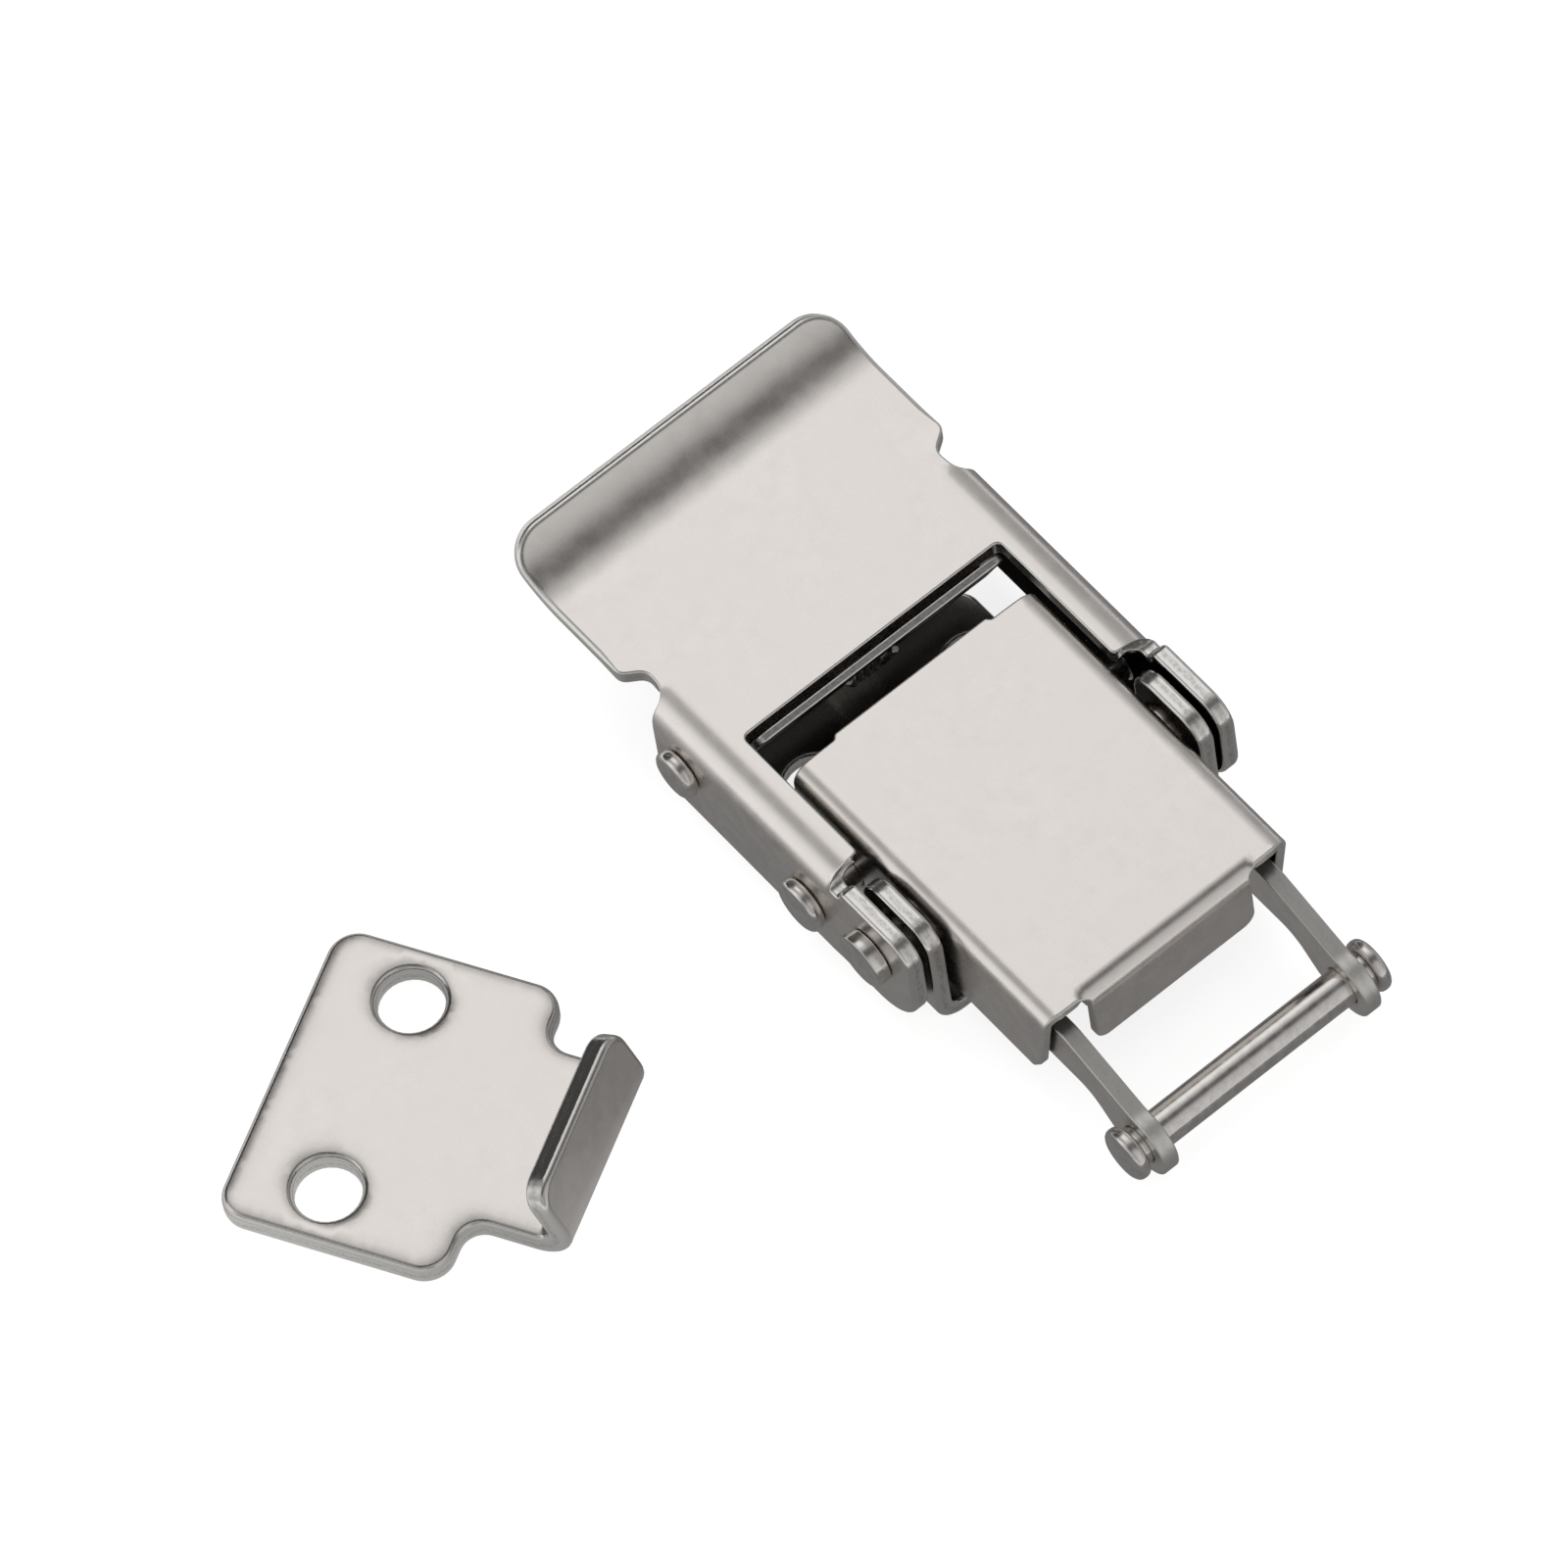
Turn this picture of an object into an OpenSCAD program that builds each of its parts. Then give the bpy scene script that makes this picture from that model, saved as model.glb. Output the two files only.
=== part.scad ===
// Toggle latch in folded stainless sheet, with its keeper.
// Origin: centre of the base's underside. +X points to the keeper side, +Z away from the mounting face.

/* [Sheets] */
// Thickness of the lever's sheet
lever_t = 1.2; // [0.9:0.1:1.5]
// Thickness of the base's sheet
base_t = 1.2; // [0.9:0.1:1.5]
// Thickness of the case's sheet
case_t = 0.75; // [0.5:0.05:1]
// Thickness of the draw bracket's sheet
arm_t = 1.2; // [0.9:0.1:1.5]
// Thickness of the catch plate
catch_t = 0.6; // [0.4:0.1:0.8]
// Thickness of the keeper's plate
keeper_t = 1.8; // [1.2:0.1:2.2]

/* [Widths] */
// Clear width between the draw bracket's arms
hook_w = 15.2; // [14:0.2:18]
// Gap between an arm and the case's wall
arm_gap = 0.3; // [0.2:0.05:0.6]
// Gap between the case and a base ear
case_gap = 0.5; // [0.45:0.05:0.8]
// Gap between a base ear and a lever flange
ear_gap = 0.45; // [0.3:0.05:0.8]

/* [Axes] */
// Distance from the base's front edge back to the lever's pivot
pivot_setback = 3.9; // [3.4:0.1:4.4]
// Height of the lever's pivot above the mounting face
pivot_h = 6.25; // [5.8:0.05:6.6]
// Distance from the lever's pivot back to the draw pin
draw_back = 6.45; // [6.2:0.05:7]
// Drop of the draw pin below the lever's pivot
draw_drop = 1.7; // [1.4:0.1:2]
// Distance from the lever's pivot back to the rear pin
rear_back = 18.45; // [17.8:0.1:19]
// Drop of the rear pin below the lever's pivot
rear_drop = 0.85; // [0.6:0.05:1.1]

/* [Pins] */
// Diameter of the draw pin and the rear pin
pin_d = 2.6; // [2:0.1:3]
// Diameter of the pivot rivets
rivet_d = 2.8; // [2.2:0.1:3.2]
// Diameter of the draw pin's and the rivets' heads
head_d = 3.9; // [3.6:0.1:4.4]
// Diameter of the rear pin's heads
rear_head_d = 3.5; // [3.2:0.1:4]
// Thickness of every outer head
head_t = 1; // [0.6:0.1:1.4]
// Thickness of the rivets' inner heads
inner_head_t = 0.3; // [0.2:0.05:0.35]
// Radial clearance of every pin that turns
run_gap = 0.05; // [0.03:0.01:0.08]

/* [Base] */
// Length of the base
base_l = 23; // [22:0.5:26]
// Length of a base ear
ear_l = 6.6; // [6.2:0.1:7]
// Height of the ears above the mounting face
ear_h = 10.25; // [9.8:0.05:10.4]
// Corner radius on top of the ears
ear_r = 2; // [1.7:0.1:2.4]
// Outer bend radius of the base
base_bend = 2; // [1.6:0.1:2.4]
// Corner radius of the tongue's rear end
tongue_r = 1.5; // [0.5:0.1:2.5]
// Distance between the screw holes, both ways
screw_pitch = 13; // [12:0.2:13.6]
// Diameter of the screw holes
screw_d = 4.3; // [3.2:0.1:4.5]

/* [Lever] */
// Height of the lever's top face above the mounting face
lever_h = 10; // [9.9:0.05:10.2]
// Height of the flanges' lower edge above the mounting face
flange_low = 1; // [0.6:0.1:1.6]
// Outer bend radius of the lever
lever_bend = 2.3; // [1.8:0.1:2.6]
// Distance from the pivot back to the window's rear edge
window_back = 15.4; // [15:0.1:15.8]
// Corner radius of the window
window_r = 0.4; // [0.2:0.1:1]
// Distance from the pivot back to the rails' front ends
rail_back = 4.2; // [4.1:0.1:4.6]
// Length of the relief between a rail and its ear
relief_l = 1.4; // [1:0.1:1.5]
// Depth of the relief below the lever's top face
relief_depth = 0.9; // [0.6:0.1:1.4]
// Radius of the ears' lower front corner
heel_r = 4; // [3.4:0.1:4.4]
// Distance from the pivot back to the flanges' rear end
flange_back = 21.3; // [20.8:0.1:21.8]
// Length of the notch between the flanges and the thumb tab
notch_l = 2.8; // [2:0.1:3.4]
// Depth of that notch from the lever's side
notch_depth = 1.4; // [0.8:0.1:1.8]
// Length of the tab's flat part behind the notch
tab_flat = 5.9; // [4:0.1:8]
// Radius of the tab's curl on its upper face
curl_r = 6.6; // [5:0.2:9]
// Angle through which the tab curls up
curl_deg = 49; // [30:1:55]
// Corner radius of the tab's rear end
tab_r = 2.6; // [1:0.1:4]
// Corner radius of the tab's front corners and the flanges' rear corners
small_r = 0.8; // [0.4:0.1:1]

/* [Catch plate] */
// Gap between the catch plate's top and the window's rear edge
catch_gap = 0.65; // [0.65:0.05:0.9]
// Wire of the catch spring
catch_wire = 0.5; // [0.4:0.05:0.6]
// Full turns of the catch spring
catch_turns = 4; // [3:1:5]
// Length of the catch spring's leg on the catch plate
catch_leg = 4; // [3.2:0.1:4.4]

/* [Case] */
// Height by which the case stands above the lever
case_proud = 0.15; // [0.05:0.05:0.3]
// Height of the case's lower edge above the mounting face
case_low = 2.6; // [2.4:0.1:2.8]
// Distance from the draw pin back to the case's rear edge
case_back = 5.2; // [4.8:0.1:5.6]
// Distance from the draw pin forward to the case's front face
case_fwd = 19.85; // [19.4:0.05:21]
// Outer bend radius of the case
case_bend = 1.3; // [1.1:0.1:1.6]
// Width of the case's front tab
front_w = 12.8; // [12:0.1:13.6]
// Height of the front tab's lower edge above the mounting face
front_low = 4.55; // [4.2:0.05:4.8]
// Width of the raised middle of the case's rear edge
rear_mid_w = 12.4; // [10:0.2:14]
// Step between that middle and the rear edge's ends
rear_step = 0.3; // [0.1:0.05:0.5]
// Height of the side walls' upright rear edge
wall_rear_h = 2.8; // [2:0.1:3.4]
// Length over which the side walls deepen from that edge
wall_slope_l = 3; // [2:0.1:4]
// Distance from the case's mouth back to the side walls' lower front corner
wall_foot_back = 1; // [0.8:0.1:1.6]
// Size of the break at that corner, along the wall and up
wall_foot = [0.7, 1]; // [0.5:0.1:1.2]
// Distance by which the side walls' front edge stands out above the break
wall_lean = 0.6; // [0.2:0.1:0.8]
// Length of the top beside the front tab, from where the tab's bend starts
mouth_l = 0.9; // [0.6:0.05:1]

/* [Draw bracket] */
// Height of the arms' lower edge above the mounting face
arm_low = 3.6; // [3.5:0.1:3.9]
// Height of the arms' upper edge above the mounting face
arm_high = 7.6; // [7.2:0.1:8]
// Gap between the cross plate and the case's top
cross_gap = 0.4; // [0.35:0.05:0.6]
// Length over which the arms' upper edge falls from the cross plate
shoulder_l = 1.5; // [1:0.1:2]
// Gap between the draw pin and the cross plate
seat_gap = 0.3; // [0.2:0.05:0.5]
// Distance from the draw pin forward to the front pin
hook_reach = 26.45; // [25.6:0.05:28]
// Height of the front pin above the mounting face
hook_h = 3.2; // [3.15:0.05:3.5]
// Diameter of the front pin
hook_pin_d = 2.6; // [2.2:0.1:2.7]
// Diameter of the front pin's heads
hook_head_d = 3.75; // [3.4:0.05:4.2]
// Gap between an arm and the front pin's head
hook_head_gap = 0.45; // [0.1:0.05:0.7]
// Outer diameter of the ring round the front pin
ring_d = 4.8; // [4.4:0.1:5.2]
// Distance from the front pin back to where an arm's upper edge starts to fall
neck_top_back = 6.8; // [6:0.1:8]
// Distance from the front pin back to where an arm's lower edge starts to drop
neck_low_back = 4.6; // [4:0.1:5]
// Corner of the lower edge behind the ring, back from the front pin and below it
ring_corner = [2.4, 1.5]; // [1.2:0.1:2.6]

/* [Draw springs] */
// Outer diameter of the draw springs
spring_d = 4.2; // [3.9:0.1:4.2]
// Wire of the draw springs
spring_wire = 0.6; // [0.4:0.05:0.65]
// Turns of each draw spring
spring_turns = 9; // [7:1:11]
// Distance between the two draw springs
spring_pitch = 7.8; // [6:0.2:9]
// Length of the spring guides in front of the cross plate
guide_l = 8; // [6:0.5:10]

/* [Keeper] */
// Place of the keeper's hole centre along X
keeper_x = -8.2; // [-12:0.2:4]
// Place of the keeper's hole centre along Y
keeper_y = -41.2; // [-48:0.2:-40]
// Turn of the keeper about Z
keeper_turn = 29.2; // [20:0.2:34]
// Width of the keeper's plate
plate_w = 21.4; // [20:0.2:24]
// Distance from the hole line back to the plate's edge
plate_back = 6.3; // [5.4:0.1:8]
// Distance from the hole line forward to the plate's shoulders
plate_fwd = 9.1; // [7:0.1:10]
// Corner radius of the plate
plate_r = 2; // [1:0.1:3]
// Width of the tongue and the lip
lip_w = 13; // [11:0.1:13.6]
// Offset of the tongue and the lip from the plate's middle
lip_shift = 0.2; // [0:0.05:0.4]
// Radius of the corners between plate and tongue
neck_r = 1.5; // [0.6:0.1:2]
// Distance from the hole line forward to the lip's outer bend
lip_fwd = 15.95; // [15:0.05:18]
// Outer bend radius of the lip
lip_bend = 2.4; // [2.3:0.1:3]
// Lean of the lip back over the plate
lip_lean = 20; // [5:1:30]
// Length of the lip's straight part
lip_l = 4.1; // [3:0.1:5]
// Corner radius of the lip
lip_r = 1.8; // [1:0.1:2.4]
// Distance between the keeper's screw holes
keeper_pitch = 14; // [12:0.1:14.6]
// Width of the rolled rim round the keeper's holes
rim_w = 0.25; // [0.1:0.05:0.4]

/* [Hidden] */
$fn = 48;
// Steps in a rounded corner of a flat outline
corner_steps = 6;
// Length by which a cutter runs past the face it cuts
over = 1;
// Edge break on the pins' heads
chamfer = 0.2;

// Half widths, from the middle outwards
arm_in = hook_w / 2;
arm_out = arm_in + arm_t;
case_in = arm_out + arm_gap;
case_out = case_in + case_t;
ear_in = case_out + case_gap;
ear_out = ear_in + base_t;
flange_in = ear_out + ear_gap;
flange_out = flange_in + lever_t;

// Ends of the base and the places of the axes, as [x, z]
base_front = base_l / 2;
ear_rear = base_front - ear_l;
pivot = [base_front - pivot_setback, pivot_h];
draw = [pivot.x - draw_back, pivot_h - draw_drop];
rear = [pivot.x - rear_back, pivot_h - rear_drop];
hook = [draw.x + hook_reach, hook_h];

// Places along the lever
rail_front = pivot.x - rail_back;
window_x = pivot.x - window_back;
flange_rear = pivot.x - flange_back;
tab_front = flange_rear - notch_l;
curl_x = tab_front - tab_flat;
tab_rear = curl_x - (curl_r + lever_t) * sin(curl_deg);

// Catch plate: its eye runs round the rear pin, its plate is tangent to the eye
eye_in = pin_d / 2 + run_gap;
eye_mid = eye_in + catch_t / 2;
eye_out = eye_in + catch_t;
catch_w = 2 * (ear_in - window_r);
catch_top = [window_x + catch_gap + catch_t / 2, lever_h];
catch_reach = norm(catch_top - rear);
catch_lean = atan2(catch_top.y - rear.y, catch_top.x - rear.x) + asin(eye_mid / catch_reach);
catch_plate_l = sqrt(pow(catch_reach, 2) - pow(eye_mid, 2));
coil_r = eye_out + catch_wire / 2;
coil_pitch = catch_wire * 1.1;
coil_l = (catch_turns + 0.5) * coil_pitch;
coil_room = coil_l / 2 + catch_wire;
// Angle at which the spring's other leg leaves its coil, to rise backwards under the tab
leg_angle = 210;
leg_rise = [sin(leg_angle), -cos(leg_angle)];
leg_start_z = rear.y + coil_r * sin(leg_angle);
lever_leg = (lever_h - lever_t - catch_wire / 2 - leg_start_z) / leg_rise.y;

// Case and draw bracket
case_top = lever_h + case_proud;
cross_high = case_top - case_t - cross_gap;
case_rear = draw.x - case_back;
case_front = draw.x + case_fwd;
case_mouth = case_front - case_bend;
cross_rear = draw.x + pin_d / 2 + seat_gap;
cross_front = cross_rear + arm_t;
cross_bend = arm_t + 0.4;
arm_rear = cross_rear + cross_bend + 1;
spring_z = cross_high - spring_d / 2;
spring_l = case_front - case_t - cross_front;
guide_d = spring_d - 2 * spring_wire - 0.4;
tail_d = guide_d - 0.6;

steel = [0.74, 0.73, 0.71];
dark_steel = [0.58, 0.57, 0.56];

// Arc that rounds the corner p between a and b with radius r
function corner(a, p, b, r) =
    let (u = (a - p) / norm(a - p), v = (b - p) / norm(b - p), half = acos(u * v) / 2,
        c = p + (u + v) / norm(u + v) * r / sin(half),
        s = p + u * r / tan(half) - c, e = p + v * r / tan(half) - c,
        from = atan2(s.y, s.x), turn = atan2(s.x * e.y - s.y * e.x, s * e))
    [for (i = [0:corner_steps]) let (t = from + turn * i / corner_steps) c + r * [cos(t), sin(t)]];

// Outline through corners given as [x, y, radius]
function outline(k) = [for (i = [0:len(k) - 1])
    let (p = [k[i][0], k[i][1]], a = k[(i + len(k) - 1) % len(k)], b = k[(i + 1) % len(k)])
    each (k[i][2] > 0 ? corner([a[0], a[1]], p, [b[0], b[1]], k[i][2]) : [p])];

// Plate that stands on edge, its outline given as [x, z, radius], between two places along Y
module side_plate(corners, y0, y1)
    translate([0, y1, 0]) rotate([90, 0, 0]) linear_extrude(y1 - y0) polygon(outline(corners));

// Flat section of a channel that opens downwards
module arch(half, top, bottom, r) {
    translate([-half, bottom]) square([2 * half, top - r - bottom]);
    translate([r - half, bottom]) square([2 * (half - r), top - bottom]);
    for (s = [0, 1]) mirror([s, 0]) translate([half - r, top - r]) intersection() {
        circle(r);
        square(r);
    }
}

// Section of a sheet folded to a channel that opens downwards
module fold(half, top, bottom, r, t)
    difference() {
        arch(half, top, bottom, r);
        arch(half - t, top - t, bottom - over, r - t);
    }

// Section drawn in Y and Z, extruded between two places along X
module along_x(x0, x1)
    translate([x0, 0, 0]) rotate([90, 0, 90]) linear_extrude(x1 - x0) children();

// Bore along Y through both sides
module cross_bore(at, d, reach)
    translate([at.x, reach, at.y]) rotate([90, 0, 0]) cylinder(d = d, h = 2 * reach);

// Half profile of a head with broken edges, standing on the line y = 0
function head_profile(d, t) = [[0, 0], [d / 2 - chamfer / 2, 0], [d / 2, chamfer / 2],
    [d / 2, t - chamfer], [d / 2 - chamfer, t], [0, t]];

// Pin along Y with a head outside each end of its shaft
module headed_pin(at, shaft_d, half, d, t)
    translate([at.x, 0, at.y]) rotate([90, 0, 0]) {
        translate([0, 0, -half]) cylinder(d = shaft_d, h = 2 * half);
        for (s = [0, 1]) mirror([0, 0, s]) translate([0, 0, half]) rotate_extrude()
            polygon(head_profile(d, t));
    }

// Round wire of diameter d along pts, with flat ends; axis is the line that its coil runs round
module wire(pts, d, axis) {
    sides = 6;
    n = len(pts);
    dir = [for (i = [0:n - 1]) let (v = pts[min(i + 1, n - 1)] - pts[max(i - 1, 0)]) v / norm(v)];
    rings = [for (i = [0:n - 1]) let (u = cross(dir[i], axis), w = u / norm(u), z = cross(w, dir[i]))
        for (k = [0:sides - 1]) pts[i] + d / 2 * (w * cos(360 * k / sides) + z * sin(360 * k / sides))];
    walls = [for (i = [0:n - 2], k = [0:sides - 1]) let (m = (k + 1) % sides)
        [i * sides + k, i * sides + m, (i + 1) * sides + m, (i + 1) * sides + k]];
    ends = [[for (k = [sides - 1:-1:0]) k], [for (k = [0:sides - 1]) (n - 1) * sides + k]];
    polyhedron(rings, concat(walls, ends), convexity = 10);
}

// Four screw holes in a square round the origin
module screw_holes()
    for (x = [-1, 1], y = [-1, 1])
        translate([x * screw_pitch / 2, y * screw_pitch / 2, -over])
            cylinder(d = screw_d, h = base_t + 2 * over);

// Base: floor with a tongue that runs back, and two ears folded up at the front
module base()
    color(steel) difference() {
        union() {
            linear_extrude(base_t) polygon(outline([
                [-base_l / 2, base_bend - ear_out, tongue_r], [ear_rear + base_t, base_bend - ear_out, 0],
                [ear_rear + base_t, ear_out - base_bend, 0], [-base_l / 2, ear_out - base_bend, tongue_r]]));
            intersection() {
                along_x(ear_rear, base_front) translate([0, ear_h]) mirror([0, 1])
                    fold(ear_out, ear_h, -over, base_bend, base_t);
                side_plate([[ear_rear, 0, 0], [base_front, 0, 0], [base_front, ear_h, ear_r],
                    [ear_rear, ear_h, ear_r]], -ear_out, ear_out);
            }
        }
        screw_holes();
        cross_bore(pivot, rivet_d, flange_out);
    }

// Pivot rivet: fast in the base's ear, it turns in the lever's ear; side is -1 or 1
module pivot_rivet(side)
    color(dark_steel) translate([pivot.x, 0, pivot.y]) rotate([-90 * side, 0, 0]) {
        translate([0, 0, ear_in]) cylinder(d = rivet_d, h = flange_out + run_gap - ear_in);
        translate([0, 0, flange_out + run_gap]) rotate_extrude() polygon(head_profile(head_d, head_t));
        translate([0, 0, ear_in - inner_head_t]) cylinder(d = head_d, h = inner_head_t);
    }

// Outline of a lever flange with its ear, the ear's front edge in line with the base's
function flange_corners() = [[flange_rear, flange_low, small_r], [base_front, flange_low, heel_r],
    [base_front, ear_h, ear_r], [rail_front + relief_l, ear_h, 0.5],
    [rail_front + relief_l, lever_h - relief_depth, 0.5], [rail_front, lever_h - relief_depth, 0],
    [rail_front, lever_h - lever_bend, 0], [flange_rear, lever_h - lever_bend, 0]];

// Thumb tab: flat, then curled up, with its corners rounded in plan
module thumb_tab()
    intersection() {
        union() {
            translate([curl_x, -flange_out, lever_h - lever_t])
                cube([flange_rear + over - curl_x, 2 * flange_out, lever_t]);
            translate([curl_x, 0, lever_h + curl_r]) rotate([90, 0, 0]) mirror([1, 0, 0])
                rotate([0, 0, -90]) rotate_extrude(angle = curl_deg)
                    translate([curl_r, -flange_out]) square([lever_t, 2 * flange_out]);
        }
        linear_extrude(lever_h + curl_r) polygon(outline([
            [tab_rear, -flange_out, tab_r], [tab_front, -flange_out, small_r],
            [tab_front, notch_depth - flange_out, small_r], [flange_rear, notch_depth - flange_out, 0],
            [flange_rear, lever_bend - flange_out, 0], [flange_rear + over, lever_bend - flange_out, 0],
            [flange_rear + over, flange_out - lever_bend, 0], [flange_rear, flange_out - lever_bend, 0],
            [flange_rear, flange_out - notch_depth, 0], [tab_front, flange_out - notch_depth, small_r],
            [tab_front, flange_out, small_r], [tab_rear, flange_out, tab_r]]));
    }

// Lever: channel with a window between two rails, ears at its front and a thumb tab at its rear
module lever()
    color(steel) difference() {
        union() {
            along_x(flange_rear, rail_front)
                fold(flange_out, lever_h, lever_h - lever_bend - over, lever_bend, lever_t);
            for (y = [-flange_out, flange_in]) side_plate(flange_corners(), y, y + lever_t);
            thumb_tab();
        }
        translate([0, 0, lever_h - lever_bend]) linear_extrude(lever_bend + over) polygon(outline([
            [window_x, -ear_in, window_r], [rail_front + over, -ear_in, 0],
            [rail_front + over, ear_in, 0], [window_x, ear_in, window_r]]));
        cross_bore(pivot, rivet_d + 2 * run_gap, flange_out + over);
        cross_bore(draw, pin_d, flange_out + over);
        cross_bore(rear, pin_d, flange_out + over);
    }

// Draw pin: riveted across the lever's flanges
module draw_pin() color(dark_steel) headed_pin(draw, pin_d, flange_out, head_d, head_t);

// Rear pin: riveted across the lever's flanges, it carries the catch plate
module rear_pin() color(dark_steel) headed_pin(rear, pin_d, flange_out, rear_head_d, head_t);

// Frame of the catch plate: origin on the rear pin, +X along the plate's slope towards its top
module at_catch()
    translate([rear.x, 0, rear.y]) rotate([0, -catch_lean, 0]) children();

// Catch plate: an eye rolled round the rear pin and a plate that rises to the window
module catch_plate()
    color(dark_steel) difference() {
        at_catch() {
            rotate([90, 0, 0]) rotate([0, 0, 90]) rotate_extrude(angle = 180)
                translate([eye_in, -catch_w / 2]) square([catch_t, catch_w]);
            translate([0, -catch_w / 2, -eye_out]) cube([catch_plate_l, catch_w, catch_t]);
        }
        translate([rear.x, coil_room, rear.y]) rotate([90, 0, 0])
            cylinder(r = coil_r + catch_wire, h = 2 * coil_room);
        translate([window_x, -catch_w, lever_h]) cube([window_back, 2 * catch_w, over]);
    }

// Catch spring: a coil round the rear pin, one leg on the catch plate, the other under the tab
module catch_spring() {
    turn = 360 * catch_turns + (catch_lean - 90) - (leg_angle - 360);
    steps = 14 * catch_turns;
    coil = [for (i = [0:steps]) let (a = catch_lean - 90 - turn * i / steps)
        [rear.x + coil_r * cos(a), coil_l * (0.5 - i / steps), rear.y + coil_r * sin(a)]];
    up = [cos(catch_lean), 0, sin(catch_lean)];
    back = [leg_rise.x, 0, leg_rise.y];
    color(dark_steel) wire(concat([coil[0] + catch_leg * up], coil, [coil[steps] + lever_leg * back]),
        catch_wire, [0, 1, 0]);
}

// Outline of the case's side walls
function case_corners() = let (foot_x = case_mouth - wall_foot_back)
    [[case_rear, case_top, 0], [case_rear, case_top - wall_rear_h, 0],
    [case_rear + wall_slope_l, case_low, 2], [foot_x, case_low, 0],
    [foot_x + wall_foot.x, case_low + wall_foot.y, 0],
    [case_mouth + wall_lean, case_top - case_bend, 0], [case_mouth + mouth_l, case_top - case_t, 0],
    [case_mouth + mouth_l, case_top, 0]];

// Case: top with two side walls, and a tab folded down at the front between the arms
module case()
    color(steel) difference() {
        union() {
            difference() {
                intersection() {
                    along_x(case_rear, case_front) fold(case_out, case_top, case_low, case_bend, case_t);
                    side_plate(case_corners(), -case_out, case_out);
                }
                translate([case_mouth, -front_w / 2, case_top - case_bend])
                    cube([case_bend, front_w, case_bend + over]);
            }
            translate([case_mouth, 0, case_top - case_bend]) rotate([90, 0, 0]) rotate_extrude(angle = 90)
                translate([case_bend - case_t, -front_w / 2]) square([case_t, front_w]);
            translate([case_front - case_t, 0, 0]) rotate([90, 0, 90]) linear_extrude(case_t)
                polygon(outline([[-front_w / 2, front_low, 1], [front_w / 2, front_low, 1],
                    [front_w / 2, case_top - case_bend, 0], [-front_w / 2, case_top - case_bend, 0]]));
        }
        cross_bore(draw, pin_d + 2 * run_gap, case_out + over);
        for (s = [0, 1]) mirror([0, s, 0]) translate([case_rear - over, rear_mid_w / 2, case_top - case_bend])
            cube([over + rear_step, case_out, case_bend + over]);
    }

// Outline of a draw bracket arm behind its ring
function arm_corners() = [[arm_rear, arm_low, 0], [hook.x - neck_low_back, arm_low, 3],
    [hook.x - ring_corner.x, hook_h - ring_corner.y, 0.8], [hook.x, hook_h - ring_d / 2, 0],
    [hook.x, hook_h + ring_d / 2, 0], [hook.x - neck_top_back, arm_high, 3],
    [arm_rear + shoulder_l, arm_high, 0.8], [arm_rear, cross_high, 0]];

// Draw bracket: a cross plate behind the springs and two arms that end in rings
module draw_bracket()
    color(dark_steel) difference() {
        union() {
            translate([0, 0, arm_low]) linear_extrude(cross_high - arm_low) rotate(90)
                fold(arm_out, -cross_rear, -arm_rear, cross_bend, arm_t);
            for (s = [0, 1]) mirror([0, s, 0]) {
                side_plate(arm_corners(), arm_in, arm_out);
                translate([hook.x, arm_out, hook.y]) rotate([90, 0, 0]) cylinder(d = ring_d, h = arm_t);
            }
        }
        cross_bore(hook, hook_pin_d + 2 * run_gap, arm_out + over);
        for (s = [-1, 1]) translate([cross_rear - over, s * spring_pitch / 2, spring_z]) rotate([0, 90, 0])
            cylinder(d = tail_d, h = arm_t + 2 * over);
    }

// Spring guide: stem in front of the cross plate, its tail riveted in the plate
module spring_guide(side)
    color(dark_steel) translate([cross_rear, side * spring_pitch / 2, spring_z]) rotate([0, 90, 0])
        rotate_extrude() polygon([[0, 0], [tail_d / 2, 0], [tail_d / 2, arm_t], [guide_d / 2, arm_t],
            [guide_d / 2, arm_t + guide_l - chamfer], [guide_d / 2 - chamfer, arm_t + guide_l],
            [0, arm_t + guide_l]]);

// Draw spring: compression spring between the cross plate and the case's front tab
module draw_spring(side) {
    coil = (spring_d - spring_wire) / 2;
    steps = 12 * spring_turns;
    color(dark_steel) translate([cross_front, side * spring_pitch / 2, spring_z]) wire([for (i = [0:steps])
        let (a = 360 * spring_turns * i / steps)
        [spring_wire / 2 + (spring_l - spring_wire) * i / steps, coil * cos(a), coil * sin(a)]],
        spring_wire, [1, 0, 0]);
}

// Front pin: headed pin that turns in the two rings
module front_pin() color(steel) headed_pin(hook, hook_pin_d, arm_out + hook_head_gap, hook_head_d, head_t);

// Outline of the keeper's plate and tongue, up to where the lip's bend starts
function keeper_corners() = let (w = plate_w / 2, y0 = lip_shift - lip_w / 2, y1 = lip_shift + lip_w / 2)
    [[-plate_back, -w, plate_r], [plate_fwd, -w, plate_r], [plate_fwd, y0, neck_r],
    [lip_fwd - lip_bend, y0, 0], [lip_fwd - lip_bend, y1, 0], [plate_fwd, y1, neck_r],
    [plate_fwd, w, plate_r], [-plate_back, w, plate_r]];

// Screw hole in the keeper with a rolled rim on its upper face
module keeper_hole(y)
    translate([0, y, -over]) {
        cylinder(d = screw_d, h = keeper_t + 2 * over);
        translate([0, 0, over + keeper_t - rim_w])
            cylinder(d1 = screw_d, d2 = screw_d + 2 * rim_w, h = rim_w);
    }

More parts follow.
